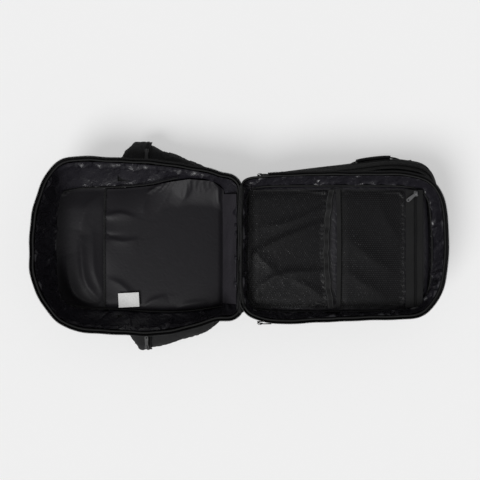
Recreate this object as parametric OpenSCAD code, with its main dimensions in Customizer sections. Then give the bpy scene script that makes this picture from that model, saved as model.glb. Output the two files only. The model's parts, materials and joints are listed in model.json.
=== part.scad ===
// Travel backpack lying open on its back: main compartment towards -X, lid towards +X,
// hinge line along Y at x = 0. The top of the bag is at both far ends, and its right side
// is towards +Y. Origin on the ground under the middle of the hinge line.

/* [Bag] */
// Length of each half, from the hinge line to the outer end of its rim
half_l = 440; // [438:1:442]
// Width of the lid across its rim
lid_w = 300; // [298:1:302]
// Height of the hinge line above the ground
hinge_z = 105; // [104:1:107]
// Thickness of the lined fabric walls
wall_t = 3; // [2.5:0.5:3]

/* [Main compartment] */
// Width across the floor's edges
floor_w = 272; // [270:1:273]
// Distance from the hinge line to the far edge of the floor
floor_far = 409; // [408:1:410]
// Distance from the hinge line to the near edge of the floor
floor_near = 38; // [36:1:40]
// Width across the rim at the hinge line
waist_w = 266; // [264:1:268]
// How far each side's rim bows out beyond the waist
belly = 47; // [45:1:48]
// Distance from the hinge line to the mouth of the laptop sleeve
sleeve_mouth = 297; // [290:1:304]
// Clear height inside the laptop sleeve
sleeve_gap = 7; // [6:0.5:7]

/* [Side pockets] */
// Reach of each slack side pocket, from the bag's middle
pocket_reach = 222; // [221:1:223]
// Distance from the hinge line to the upper end of a side pocket
pocket_top = 252; // [248:1:256]

/* [Lid] */
// Height of the lid panel's pocket side above the ground
panel_z = 65; // [64:1:66]
// Height of the divider's lid side above the ground
divider_z = 33; // [32:1:34]
// How far the divider leans out on the right, at the far end
divider_lean = 40; // [38:1:42]
// How far the front leans out on the right, at the far end
front_lean = 52; // [50:1:54]
// Clear height inside the mesh pockets
mesh_gap = 7; // [6:0.5:7]

/* [Straps and handles] */
// Width of a shoulder strap at its upper end
strap_w = 62; // [58:1:64]
// Thickness of a shoulder strap
strap_t = 9.5; // [9:0.5:9.5]
// Width of the strap webbing
webbing_w = 25; // [24:1:26]
// Height of the handle webbing
handle_h = 12; // [11:1:12]

/* [Zips] */
// Height of an open zip tape with its coil
tape_h = 15; // [14:1:16]
// Thickness of a zip tape with its coil
tape_t = 2; // [1.5:0.5:2]
// Length of a zip slider's body
slider_l = 12; // [11:1:13]
// Length of a zip puller
puller_l = 24; // [22:1:25]

/* [Hidden] */
$fn = 32;

// Clearance between faces that move past each other
gap = 0.4;
// Heights of the layers under the main compartment
back_z = 19;
sheet_z = 21.2;
lining_z = 22.8;
floor_z = 24;
pad_t = 9;
// Height of the rims' top edges, just under the hinge line
rim_z = hinge_z - 1;
tape_top = hinge_z - 0.2;
// Outer outline of the main compartment, as two half-ellipses with squared corners
mid_x = 255;
rim_a = half_l - tape_t - mid_x;
rim_b = waist_w / 2 + belly;
floor_a = floor_far - mid_x;
floor_b = floor_w / 2;
RIM_POWER = 2.8;
FLOOR_POWER = 5;
// The moving part of each side wall lies between these distances from the hinge line
wall_near = 58;
wall_far = 368;
// The top wall turns both far corners up to this angle from the bag's middle line
top_angle = 56.5;
// Heights of a side pocket's corners, from where its upper face leaves the wall
pocket_z1 = 72;
pocket_z2 = 59;
pocket_z3 = 42;
pocket_z4 = 29;
side_zip_x = -200;
// Sewn blocks and webbing
lock_x = -128;
side_handle_x = 297;

// Lid outlines: near end, far end, left edge, right edge at the near and far end, corner radii
TRAY_FLOOR = [12, 404, -137, 137, 137, 26, 26];
TRAY_RIM = [3, half_l - tape_t, -lid_w / 2, lid_w / 2, lid_w / 2, 30, 52];
DIVIDER = [9, 424, -132, 150, 138 + divider_lean, 30, 50];
FRONT = [9, 420, -122, 152, 138 + front_lean, 30, 55];
BACK = [-404, -43, -130, 130, 130, 62, 6];

function inset(o, d) = [o[0] + d, o[1] - d, o[2] + d, o[3] - d, o[4] - d, max(o[5] - d, 1), max(o[6] - d, 1)];
function blend(a, b, t) = a + (b - a) * t;
function arc(cx, cy, r, a0) = [for (i = [0:6]) [cx + r * cos(a0 + i * 15), cy + r * sin(a0 + i * 15)]];
// Points along the right edge, between the far and the near corner
EDGE_N = 12;
function edge_points(o) = [for (i = [1:EDGE_N - 1])
    blend([o[1] - o[6], o[4]], [o[0] + o[5], o[3]], i / EDGE_N)];
// Points of a lid outline, anticlockwise from the near left corner
function outline(o) = concat(
    arc(o[0] + o[5], o[2] + o[5], o[5], 180),
    arc(o[1] - o[6], o[2] + o[6], o[6], 270),
    arc(o[1] - o[6], o[4] - o[6], o[6], 0),
    edge_points(o),
    arc(o[0] + o[5], o[3] - o[5], o[5], 90)
);
// The band of a zip starts and ends this many points past the hinge end's corners
BAND_FIRST = 5;
BAND_LAST = 21 + EDGE_N;
band_gap = 0.8;
// Signed power, for the squared ellipses
function spow(v, p) = sign(v) * pow(abs(v), p);
function ellipse_pt(a, b, power, angle) = [
    -mid_x - a * spow(cos(angle), 2 / power),
    b * spow(sin(angle), 2 / power)
];
function ellipse_y(a, b, power, x) = b * pow(1 - pow(max(-mid_x - x, 0) / a, power), 1 / power);
// Half-width of the rim and of the floor at x
function rim_y(x) = x < -mid_x
    ? ellipse_y(rim_a, rim_b, RIM_POWER, x)
    : waist_w / 2 + belly * (1 - pow((x + mid_x) / mid_x, 2));
function floor_y(x) = x < -mid_x ? ellipse_y(floor_a, floor_b, FLOOR_POWER, x) : floor_b;
// Height of the rim at x: the side walls sink as they lean outwards, and rise again at the far corners
function far_share(x) = max(0, min(1, (-x - 345) / (wall_far - 345)));
function lean_z(x) = back_z + sqrt(pow(rim_z - back_z, 2) - pow(rim_y(x) - floor_y(x), 2));
function rim_top(x) = blend(lean_z(x), rim_z, far_share(x));
// Half-width of the side wall's outer face at x and z
function wall_y(x, z) = blend(floor_y(x), rim_y(x), (z - back_z) / (rim_top(x) - back_z));

// Solid through a list of rings with the same number of points, closed on itself or capped.
// Each ring runs clockwise as seen from the last ring.
module loft(rings, closed = false) {
    n = len(rings);
    m = len(rings[0]);
    last = closed ? n - 1 : n - 2;
    sides = [for (i = [0:last], k = [0:m - 1], half = [0, 1])
        let (j = (i + 1) % n, l = (k + 1) % m)
        half == 0 ? [i * m + k, i * m + l, j * m + l] : [i * m + k, j * m + l, j * m + k]];
    caps = closed ? [] : [[for (k = [m - 1:-1:0]) k], [for (k = [0:m - 1]) (n - 1) * m + k]];
    polyhedron(points = [for (r = rings) each r], faces = concat(sides, caps), convexity = 6);
}

// Walls between a low and a high outline
module ring_wall(low, z0, high, z1, t) {
    a = outline(low);
    b = outline(high);
    c = outline(inset(high, t));
    d = outline(inset(low, t));
    loft([for (i = [0:len(a) - 1])
        [[a[i].x, a[i].y, z0], [b[i].x, b[i].y, z1], [c[i].x, c[i].y, z1], [d[i].x, d[i].y, z0]]], closed = true);
}

// Band of zip tape round the left, far and right sides of the walls between two outlines
module lid_band(low, z0, high, z1, t) {
    a = outline(inset(low, -band_gap));
    b = outline(inset(low, -band_gap - t));
    c = outline(inset(high, -band_gap - t));
    d = outline(inset(high, -band_gap));
    loft([for (i = [BAND_FIRST:BAND_LAST])
        [[b[i].x, b[i].y, z0], [c[i].x, c[i].y, z1], [d[i].x, d[i].y, z1], [a[i].x, a[i].y, z0]]]);
}

module plate(o, z0, z1) {
    translate([0, 0, z0])
        linear_extrude(z1 - z0)
            polygon(outline(o));
}

module frame_plate(o, width, z0, z1) {
    translate([0, 0, z0])
        linear_extrude(z1 - z0)
            difference() {
                polygon(outline(o));
                polygon(outline(inset(o, width)));
            }
}

module block(x0, x1, y0, y1, z0, z1) {
    translate([x0, y0, z0])
        cube([x1 - x0, y1 - y0, z1 - z0]);
}

// Draws its children on the right side, or mirrored onto the left side
module on_side(side) {
    scale_y = side;
    if (scale_y > 0) children();
    else mirror([0, 1, 0]) children();
}

// ---- Back of the main compartment

module back_panel() {
    color("#18181a") plate(BACK, back_z, sheet_z);
}

module frame_sheet() {
    color("#3c3c40") plate(inset(BACK, 4), sheet_z, lining_z);
}

module floor_lining() {
    color("#2b2930") plate(BACK, lining_z, floor_z);
}

module back_piping() {
    color("#141416") frame_plate(BACK, 3.5, back_z - 3.5, back_z);
}

module back_pad(side) {
    color("#1e1e20") on_side(side) plate([-376, -68, 14, 120, 120, 26, 22], back_z - pad_t, back_z);
}

module laptop_sleeve() {
    z = floor_z + sleeve_gap;
    color("#2e2c33") plate([-sleeve_mouth, -48, -128, 128, 128, 2, 8], z, z + 5);
}

module sleeve_edges() {
    z = floor_z + sleeve_gap;
    color("#2a2830") {
        for (side = [-1, 1]) on_side(side) block(-sleeve_mouth + 1, -60, 125, 128, floor_z, z);
        block(-52, -49, -119, 119, floor_z, z);
    }
}

module sleeve_binding() {
    z = floor_z + sleeve_gap;
    color("#232127") block(-sleeve_mouth - 4, -sleeve_mouth, -128, 128, z, z + 5.5);
}

module care_label() {
    color("#e9e9e6")
        translate([-243, -108, floor_z + sleeve_gap + 5])
            rotate([0, 0, 4])
                linear_extrude(0.5)
                    square([45, 31], center = true);
}

// ---- Walls of the main compartment

function top_ring(angle) =
    let (a = ellipse_pt(floor_a, floor_b, FLOOR_POWER, angle))
    let (b = ellipse_pt(rim_a, rim_b, RIM_POWER, angle))
    let (c = ellipse_pt(rim_a - wall_t, rim_b - wall_t, RIM_POWER, angle))
    let (d = ellipse_pt(floor_a - wall_t, floor_b - wall_t, FLOOR_POWER, angle))
    [[a.x, a.y, back_z], [b.x, b.y, rim_z], [c.x, c.y, rim_z], [d.x, d.y, back_z]];

module top_wall() {
    color("#1a1a1c") loft([for (i = [0:20]) top_ring(top_angle * (1 - i / 10))]);
}

module rim_band_top() {
    loft([for (i = [0:20])
        let (angle = top_angle * (1 - i / 10))
        let (a = ellipse_pt(rim_a + gap / 4, rim_b + gap / 4, RIM_POWER, angle))
        let (b = ellipse_pt(rim_a + tape_t, rim_b + tape_t, RIM_POWER, angle))
        [[a.x, a.y, tape_top - tape_h], [b.x, b.y, tape_top - tape_h],
         [b.x, b.y, tape_top], [a.x, a.y, tape_top]]]);
}

// Stations along a side wall, from its near end to its far end
WALL_X = [for (i = [0:24]) -wall_near - (wall_far - wall_near) * i / 24];

module side_wall(side) {
    color("#1a1a1c") on_side(side) loft([for (x = WALL_X)
        [[x, floor_y(x), back_z], [x, rim_y(x), rim_top(x)],
         [x, rim_y(x) - wall_t, rim_top(x)], [x, floor_y(x) - wall_t, back_z]]]);
}

module rim_band(stations) {
    loft([for (x = stations)
        let (top = rim_top(x) + tape_top - rim_z)
        [[x, rim_y(x) + gap / 4, top - tape_h], [x, rim_y(x) + tape_t, top - tape_h],
         [x, rim_y(x) + tape_t, top], [x, rim_y(x) + gap / 4, top]]]);
}

module rim_tape(side) {
    color("#101012") on_side(side) rim_band(WALL_X);
}

// The fixed stretches of the rim's tape: round the top wall, and beside the hinge line
module rim_tape_ends() {
    color("#101012") {
        rim_band_top();
        for (side = [-1, 1]) on_side(side) rim_band([-14, -28, -42, -wall_near + 2]);
    }
}

// Bottom wall at the hinge end, with the near ends of the side walls
module bottom_wall() {
    near = -floor_near;
    x0 = -wall_near + 2;
    y0 = floor_w / 2;
    y1 = waist_w / 2;
    low = [[x0, y0], [near, y0 - 2], [near, -y0 + 2], [x0, -y0]];
    low_in = [[x0, y0 - wall_t], [near - wall_t, y0 - wall_t - 2],
              [near - wall_t, -y0 + wall_t + 2], [x0, -y0 + wall_t]];
    high = [[x0, rim_y(x0)], [-3, y1], [-3, -y1], [x0, -rim_y(x0)]];
    high_in = [[x0, rim_y(x0) - wall_t], [-3 - wall_t, y1 - wall_t],
               [-3 - wall_t, -y1 + wall_t], [x0, -rim_y(x0) + wall_t]];
    top = [rim_top(x0), rim_z, rim_z, rim_top(x0)];
    color("#1a1a1c") loft([for (i = [0:3])
        [[low[i].x, low[i].y, back_z], [low_in[i].x, low_in[i].y, back_z],
         [high_in[i].x, high_in[i].y, top[i]], [high[i].x, high[i].y, top[i]]]]);
}

// Fabric roll that joins both halves along the hinge line
module hinge_binding() {
    color("#1c1c1e")
        translate([0, 0, hinge_z])
            rotate([90, 0, 0])
                cylinder(h = waist_w - 20, r = 2, center = true);
}

// ---- Side pockets

// Reach of a side pocket's outer edge at x
function pocket_out(x) = lookup(x, [[-pocket_top, 176], [-218, pocket_reach - 1], [-190, pocket_reach],
                                    [-130, 192], [-wall_near - 4, 158]]);

// Section of a side pocket at x: its outer faces, or its inner faces t deeper and open towards the wall
function pocket_ring(x, t) =
    let (wall = t > 0 ? -6 : 1.4)
    [[x, wall_y(x, pocket_z4) + wall, pocket_z4 + t], [x, wall_y(x, pocket_z1) + wall, pocket_z1 - t],
     [x, pocket_out(x) - 1.6 * t, pocket_z2 - t], [x, pocket_out(x) - 1.6 * t, pocket_z3 + t]];

module side_pocket(side) {
    t = 2.4;
    near = -wall_near - 4;
    far = -pocket_top;
    color("#161618") on_side(side)
        difference() {
            loft([for (i = [0:16]) pocket_ring(blend(far, near, i / 16), 0)]);
            loft([for (i = [0:16]) pocket_ring(blend(far + 2 * t, near - 2 * t, i / 16), t)]);
        }
}

// Frame on a side pocket's upper face: origin where the face leaves the wall, Y outward
pocket_y1 = wall_y(side_zip_x, pocket_z1);
pocket_dy = pocket_reach - pocket_y1;
pocket_dz = pocket_z2 - pocket_z1;
pocket_tilt = atan2(pocket_dz, pocket_dy);
module on_pocket(side) {
    on_side(side)
        translate([side_zip_x, pocket_y1, pocket_z1 + 0.4])
            rotate([pocket_tilt, 0, 0])
                children();
}

module side_zip(side) {
    color("#101012") on_pocket(side) {
        block(-8, 8, 4, 52, 0, 1);
        block(-2, 2, 4, 52, 1, 1.8);
    }
}

module side_slider(side) {
    color("#2a2a2c") on_pocket(side) block(-4.5, 4.5, 38, 48, 2, 5.4);
}

module side_puller(side) {
    color("#222224") on_pocket(side) puller_plate(44, -1, 5.8);
}

// Flat puller with a cord hole, from its bail at y to its tip along +Y or -Y
module puller_plate(y, direction, z) {
    translate([0, y, z])
        difference() {
            translate([-3.5, direction > 0 ? 0 : -puller_l, 0])
                cube([7, puller_l, 1.4]);
            translate([0, direction * (puller_l - 4), -1])
                cylinder(h = 4, r = 1.8);
        }
}

// ---- Shoulder straps

module strap_yoke() {
    color("#161618") block(-397.5, -391.5, -82, 82, 0, back_z);
}

function strap_ring(t) =
    let (x = -391 + t * 263)
    let (y = 50 + 46 * (3 * t * t - 2 * t * t * t))
    let (w = blend(strap_w, 44, t) / 2)
    [[x, y - w, 0], [x, y - w, strap_t], [x, y + w, strap_t], [x, y + w, 0]];

module strap(side) {
    color("#1e1e20") on_side(side) loft([for (i = [0:12]) strap_ring(i / 12)]);
}

module ladder_lock(side) {
    color("#0e0e10") on_side(side)
        difference() {
            block(lock_x + 1.7, lock_x + 26, 79, 113, 2.5, 6.5);
            block(lock_x + 5, lock_x + 9, 83, 109, 0, 9);
            block(lock_x + 14, lock_x + 18, 83, 109, 0, 9);
        }
}

module strap_webbing() {
    low = 96 - webbing_w / 2;
    color("#121214") for (side = [-1, 1]) on_side(side) loft([
        [[-101, low, 3], [-101, low, 4.5], [-101, low + webbing_w, 4.5], [-101, low + webbing_w, 3]],
        [[-63, low + 12, 3], [-63, low + 12, 4.5], [-63, low + webbing_w + 12, 4.5], [-63, low + webbing_w + 12, 3]]
    ]);
}

module strap_wings() {
    color("#161618")
        for (side = [-1, 1]) on_side(side)
            linear_extrude(back_z - 3.5)
                polygon([[-62.5, 94], [-46, 90], [-46, 128], [-62.5, 122]]);
}

// ---- Top handle

module top_handle() {
    color("#121214") {
        translate([0, 0, 4])
            linear_extrude(handle_h)
                difference() {
                    polygon([[-426, -64], [-434, -52], [-438, -36], [-438, 36], [-434, 52], [-426, 64]]);
                    polygon([[-425, -54], [-431, -44], [-434, -33], [-434, 33], [-431, 44], [-425, 54]]);
                }
        for (side = [-1, 1]) on_side(side)
            translate([-426, 54, 4 + handle_h / 2])
                rotate([-90, 0, 0])
                    cylinder(h = 10, r = handle_h / 2);
    }
}

module top_handle_tabs() {
    color("#161618")
        for (side = [-1, 1]) on_side(side) block(-420 + gap, -401, 50, 68, 5, 15.3);
}

// ---- Lid

// Half-width of the mesh pockets
pocket_y = 125;

module lid_gusset() {
    color("#201f24") ring_wall(TRAY_FLOOR, panel_z - 4, TRAY_RIM, rim_z, wall_t);
}

module lid_panel() {
    color("#1c1c20") plate(inset(TRAY_FLOOR, wall_t + 0.2), panel_z - 4, panel_z);
}

module lid_piping() {
    color("#141416") frame_plate([16, 400, -133, 133, 133, 22, 22], 2.2, panel_z, panel_z + 3);
}

module lid_rim_tape() {
    color("#101012") lid_band(inset(TRAY_RIM, band_gap), tape_top - tape_h, inset(TRAY_RIM, band_gap - gap / 4), tape_top, tape_t);
}

// Mesh pocket from x0 to x1 with sewn walls down to the lid panel at its sides and lower edge
module mesh_pocket(x0, x1) {
    z = panel_z + mesh_gap;
    y = pocket_y;
    color("#262629") {
        block(x0, x1, -y, y, z, z + 1.2);
        for (side = [-1, 1]) on_side(side) block(x0, x1, y - 2, y, panel_z, z);
        block(x0, x0 + 2, 2 - y, y - 2, panel_z, z);
    }
}

module lower_mesh_pocket() {
    mesh_pocket(25, 186);
}

module lower_pocket_hem() {
    z = panel_z + mesh_gap;
    color("#161618") block(186, 200, -pocket_y, pocket_y, z - 0.5, z + 2);
}

module upper_mesh_pocket() {
    mesh_pocket(209, 353);
}

module upper_pocket_zip() {
    z = panel_z + mesh_gap;
    color("#141416") {
        block(353, 391, -pocket_y, pocket_y, z, z + 1.2);
        block(373.5, 376.5, -120, 120, z + 1.2, z + 2);
        block(389, 391, -pocket_y, pocket_y, panel_z, z);
    }
}

module upper_pocket_slider() {
    z = panel_z + mesh_gap + 2;
    color("#8b8c8f") block(370.5, 379.5, 112, 124, z + gap, z + gap + 3.5);
}

module upper_pocket_puller() {
    z = panel_z + mesh_gap + 6.6;
    color("#77787b")
        translate([374, 117, 0])
            rotate([0, 0, 130])
                puller_plate(0, 1, z);
}

// ---- Outer compartments

module organiser_gusset() {
    color("#1a1a1c") ring_wall(DIVIDER, divider_z, TRAY_FLOOR, panel_z - 4, wall_t);
}

module organiser_divider() {
    color("#242228") plate(DIVIDER, divider_z - 2, divider_z);
}

// Outlines of the organiser's and the front pocket's walls at height z
function organiser_at(z) = blend(DIVIDER, TRAY_FLOOR, (z - divider_z) / (panel_z - 4 - divider_z));
function front_at(z) = blend(FRONT, DIVIDER, (z - 3) / (divider_z - 5));

module organiser_zip() {
    color("#101012") lid_band(organiser_at(38), 38, organiser_at(45), 45, tape_t);
}

module front_gusset() {
    color("#1a1a1c") ring_wall(FRONT, 3, DIVIDER, divider_z - 2, wall_t);
}

module front_panel() {
    color("#18181a") plate(FRONT, 0, 3);
}

module front_zip() {
    color("#101012") lid_band(front_at(20), 20, front_at(27), 27, tape_t);
}

// Zip slider at x on a right-hand wall that faces +Y, and its flat puller lying along the tape
module wall_slider(x, y, z) {
    color("#2a2a2c") block(x, x + slider_l, y, y + 4, z - 4.5, z + 4.5);
}

module wall_puller(x, y, z) {
    color("#222224")
        translate([x + slider_l / 2, y + 4 + gap, z])
            rotate([-90, -90, 0])
                puller_plate(0, 1, 0);
}

outer_slider_x = 60;
organiser_zip_y = -organiser_at(41.5)[2] + band_gap + tape_t + 1.2;
front_zip_y = -front_at(23.5)[2] + band_gap + tape_t + 2;

module organiser_slider() {
    on_side(-1) wall_slider(outer_slider_x, organiser_zip_y, 41.5);
}

module organiser_puller() {
    on_side(-1) wall_puller(outer_slider_x, organiser_zip_y, 41.5);
}

module front_slider() {
    on_side(-1) wall_slider(outer_slider_x, front_zip_y, 23.5);
}

module front_puller() {
    on_side(-1) wall_puller(outer_slider_x, front_zip_y, 23.5);
}

// Frame on the right edge of a lid outline: X along the edge, Y outward
function edge_angle(o) = atan2(o[4] - o[3], o[1] - o[6] - o[0] - o[5]);
function edge_y(o, x) = o[3] + (x - o[0] - o[5]) * tan(edge_angle(o));
module on_edge(o, x, z) {
    translate([x, edge_y(o, x), z])
        rotate([0, 0, edge_angle(o)])
            children();
}

// Side handle: a flat webbing arch along the front's right edge
module side_handle() {
    root = handle_h / 2 + gap;
    color("#121214") on_edge(FRONT, side_handle_x, 4) {
        linear_extrude(handle_h)
            difference() {
                polygon([[-66, root], [-46, 15], [-30, 17.5], [30, 17.5], [46, 15], [66, root]]);
                polygon([[-54, root - 1], [-40, 11.5], [-28, 13.5], [28, 13.5], [40, 11.5], [54, root - 1]]);
            }
        for (x = [-66, 54])
            translate([x, root, handle_h / 2])
                rotate([0, 90, 0])
                    cylinder(h = 12, r = handle_h / 2);
    }
}

// ---- Main zip

main_slider_x = 36;
main_zip_y = lid_w / 2 + tape_t + 0.5;
main_zip_z = 97.5;

module main_slider(side) {
    on_side(side) wall_slider(main_slider_x, main_zip_y, main_zip_z);
}

module main_puller(side) {
    on_side(side) wall_puller(main_slider_x, main_zip_y, main_zip_z);
}

back_panel();
frame_sheet();
floor_lining();
back_piping();
back_pad(1);  // back_pad_right
back_pad(-1);  // back_pad_left
laptop_sleeve();
sleeve_edges();
sleeve_binding();
care_label();
top_wall();
bottom_wall();
rim_tape_ends();
hinge_binding();
side_wall(1);  // side_wall_right
side_wall(-1);  // side_wall_left
rim_tape(1);  // rim_tape_right
rim_tape(-1);  // rim_tape_left
side_pocket(1);  // side_pocket_right
side_pocket(-1);  // side_pocket_left
side_zip(1);  // side_zip_right
side_zip(-1);  // side_zip_left
side_slider(1);  // side_slider_right
side_slider(-1);  // side_slider_left
side_puller(1);  // side_puller_right
side_puller(-1);  // side_puller_left
strap_yoke();
strap(1);  // strap_right
strap(-1);  // strap_left
ladder_lock(1);  // ladder_lock_right
ladder_lock(-1);  // ladder_lock_left
strap_webbing();
strap_wings();
top_handle();
top_handle_tabs();
lid_gusset();
lid_panel();
lid_piping();
lid_rim_tape();
lower_mesh_pocket();
lower_pocket_hem();
upper_mesh_pocket();
upper_pocket_zip();
upper_pocket_slider();
upper_pocket_puller();
organiser_gusset();
organiser_divider();
organiser_zip();
organiser_slider();
organiser_puller();
front_gusset();
front_panel();
front_zip();
front_slider();
front_puller();
side_handle();
main_slider(1);  // main_slider_right
main_slider(-1);  // main_slider_left
main_puller(1);  // main_puller_right
main_puller(-1);  // main_puller_left
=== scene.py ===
"""Travel backpack opened flat on its back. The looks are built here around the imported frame.

Shapes are worked out in millimetres in the frame's own axes and turned into metres when a mesh is made.
The main compartment lies towards -X, the lid towards +X, and the bag's right side is towards +Y.
"""

import json
import math

import bpy
import numpy as np
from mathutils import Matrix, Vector, noise


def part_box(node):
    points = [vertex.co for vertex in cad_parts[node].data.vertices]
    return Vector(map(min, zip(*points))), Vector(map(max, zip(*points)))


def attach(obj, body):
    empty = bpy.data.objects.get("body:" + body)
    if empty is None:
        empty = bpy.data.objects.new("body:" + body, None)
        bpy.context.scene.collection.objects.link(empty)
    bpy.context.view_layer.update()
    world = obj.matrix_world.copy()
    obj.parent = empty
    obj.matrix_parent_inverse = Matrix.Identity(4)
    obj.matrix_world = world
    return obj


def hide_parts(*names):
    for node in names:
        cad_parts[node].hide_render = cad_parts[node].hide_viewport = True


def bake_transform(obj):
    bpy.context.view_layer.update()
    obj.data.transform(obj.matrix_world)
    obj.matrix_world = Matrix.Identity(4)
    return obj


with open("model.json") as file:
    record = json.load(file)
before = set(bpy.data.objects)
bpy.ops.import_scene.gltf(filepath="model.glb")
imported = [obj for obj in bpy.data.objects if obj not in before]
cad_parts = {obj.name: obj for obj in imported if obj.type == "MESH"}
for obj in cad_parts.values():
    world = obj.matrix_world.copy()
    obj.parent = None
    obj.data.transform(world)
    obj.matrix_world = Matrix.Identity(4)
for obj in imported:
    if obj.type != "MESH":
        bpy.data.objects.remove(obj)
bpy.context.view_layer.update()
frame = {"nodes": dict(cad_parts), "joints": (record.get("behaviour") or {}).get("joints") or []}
MM = 0.001

# ---------------------------------------------------------------- places taken from the frame


def box_mm(node):
    """Lowest and highest corner of a CAD node, in millimetres."""
    low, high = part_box(node)
    return np.array(low) / MM, np.array(high) / MM


def middle(node):
    low, high = box_mm(node)
    return (low + high) / 2


HINGE_Z = next(j for j in frame["joints"] if j["name"] == "lid_hinge")["pos_m"][2] / MM
FLOOR_Z = box_mm("floor_lining")[1][2]
BACK_Z = box_mm("back_panel")[0][2]
SLEEVE_LOW, SLEEVE_HIGH = box_mm("laptop_sleeve")
PANEL_LOW, PANEL_HIGH = box_mm("lid_panel")
MESH_Z = box_mm("lower_mesh_pocket")[1][2]
DIVIDER_LOW, DIVIDER_HIGH = box_mm("organiser_divider")

# ---------------------------------------------------------------- small tools

UP, ALONG_X = np.array([0, 0, 1.0]), np.array([1.0, 0, 0])
SIDES = (("right", 1), ("left", -1))


def smoothstep(t):
    t = np.clip(t, 0, 1)
    return t * t * (3 - 2 * t)


def fbm(p, scale, seed=0.0, octaves=3):
    """Seeded fractal noise at points p (n, 3), in about -1 to 1. Scale is the size of its largest features."""
    out = np.zeros(len(p))
    for k in range(octaves):
        f = 2.0**k / scale
        out += [noise.noise((q[0] * f + seed, q[1] * f - seed, q[2] * f + 7.3 * k)) / 2**k for q in p]
    return out


def spline(points, n, closed=False):
    """n points evenly spaced along a smooth curve through the given points, of any number of columns."""
    p = np.array(points, float)
    if closed:
        p = np.vstack([p[-2:], p, p[:3]]) if len(p) > 3 else p
        spans = range(2, len(p) - 3)
    else:
        p = np.vstack([2 * p[0] - p[1], p, 2 * p[-1] - p[-2]])
        spans = range(1, len(p) - 2)
    t = np.linspace(0, 1, 25)[:, None]
    dense = []
    for i in spans:
        a, b, c, d = p[i - 1], p[i], p[i + 1], p[i + 2]
        dense.append((b + 0.5 * t * (c - a + t * (2 * a - 5 * b + 4 * c - d + t * (3 * (b - c) + d - a))))[:-1])
    dense.append(p[spans[-1] + 1][None, :])
    dense = np.vstack(dense)
    step = np.linalg.norm(np.diff(dense[:, :3], axis=0), axis=1)
    s = np.concatenate([[0], np.cumsum(step)])
    at = np.linspace(0, s[-1], n + 1)[:-1] if closed else np.linspace(0, s[-1], n)
    return np.stack([np.interp(at, s, dense[:, k]) for k in range(p.shape[1])], axis=1)


def unit(v):
    return v / np.maximum(np.linalg.norm(v, axis=-1, keepdims=True), 1e-9)


def tangents(path, closed=False):
    if closed:
        return unit(np.roll(path, -1, 0) - np.roll(path, 1, 0))
    return unit(np.gradient(path, axis=0))


def lengths(path):
    """Distance along a path at each of its points."""
    return np.concatenate([[0], np.cumsum(np.linalg.norm(np.diff(path, axis=0), axis=1))])


def grid_normals(p, closed_u=False):
    du = (np.roll(p, -1, 0) - np.roll(p, 1, 0)) if closed_u else np.gradient(p, axis=0)
    dv = np.gradient(p, axis=1)
    return unit(np.cross(du, dv))


def add_object(name, verts, faces, mat, uvs=None, normals=None, smooth=True):
    """A mesh object from millimetre points. uvs has one pair per vertex, in millimetres along the cloth."""
    mesh = bpy.data.meshes.new(name)
    mesh.from_pydata((np.asarray(verts) * MM).tolist(), [], [tuple(int(i) for i in f) for f in faces])
    mesh.update()
    if uvs is not None:
        loops = np.zeros(len(mesh.loops), int)
        mesh.loops.foreach_get("vertex_index", loops)
        layer = mesh.uv_layers.new(name="cloth")
        layer.data.foreach_set("uv", np.asarray(uvs, np.float32)[loops].ravel())
    mesh.polygons.foreach_set("use_smooth", [smooth] * len(mesh.polygons))
    if normals is not None:
        mesh.normals_split_custom_set_from_vertices(np.asarray(normals).tolist())
    obj = bpy.data.objects.new(name, mesh)
    bpy.context.scene.collection.objects.link(obj)
    mesh.materials.append(mat)
    return obj


def grid_faces(nu, nv, closed_u=False, closed_v=False, start=0):
    iu = np.arange(nu if closed_u else nu - 1)
    iv = np.arange(nv if closed_v else nv - 1)
    a, b = np.meshgrid(iu, iv, indexing="ij")
    c, d = (a + 1) % nu, (b + 1) % nv
    quads = np.stack([a * nv + b, c * nv + b, c * nv + d, a * nv + d], axis=-1).reshape(-1, 4)
    return (quads + start).tolist()


def cloth_uv(p):
    """Millimetres along both directions of a grid of points."""
    def run(q):
        step = np.linalg.norm(np.diff(q, axis=0), axis=2)
        return np.concatenate([np.zeros((1, q.shape[1])), np.cumsum(step, axis=0)])
    u, v = run(p), run(p.swapaxes(0, 1)).T
    return np.stack([u.mean(1, keepdims=True) + 0 * u, v.mean(0, keepdims=True) + 0 * v], axis=-1).reshape(-1, 2)


def sheet_object(name, p, mat, closed_u=False, normals=None):
    """An open sheet from a grid of points (nu, nv, 3)."""
    n = grid_normals(p, closed_u) if normals is None else normals
    return add_object(name, p.reshape(-1, 3), grid_faces(p.shape[0], p.shape[1], closed_u), mat, cloth_uv(p),
                      n.reshape(-1, 3))


def slab_object(name, p, mat, thick):
    """A sheet with a thickness: its top is the grid p, its underside lies below along the normals."""
    nu, nv = p.shape[:2]
    under = p - grid_normals(p) * thick
    k = nu * nv
    faces = grid_faces(nu, nv) + [f[::-1] for f in grid_faces(nu, nv, start=k)]
    grid = np.arange(k).reshape(nu, nv)
    for edge, flip in ((grid[:, 0], False), (grid[:, -1], True), (grid[0], True), (grid[-1], False)):
        for a, b in zip(edge[:-1], edge[1:]):
            quad = [a, a + k, b + k, b]
            faces.append(quad[::-1] if flip else quad)
    uv = cloth_uv(p)
    obj = add_object(name, np.vstack([p.reshape(-1, 3), under.reshape(-1, 3)]), faces, mat, np.vstack([uv, uv]))
    return sharp_edges(obj)


def sharp_edges(obj, degrees=40):
    """Smooth shading that keeps hard edges."""
    mesh = obj.data
    mesh.polygons.foreach_set("use_smooth", [True] * len(mesh.polygons))
    mesh.set_sharp_from_angle(angle=math.radians(degrees))
    return obj


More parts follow.
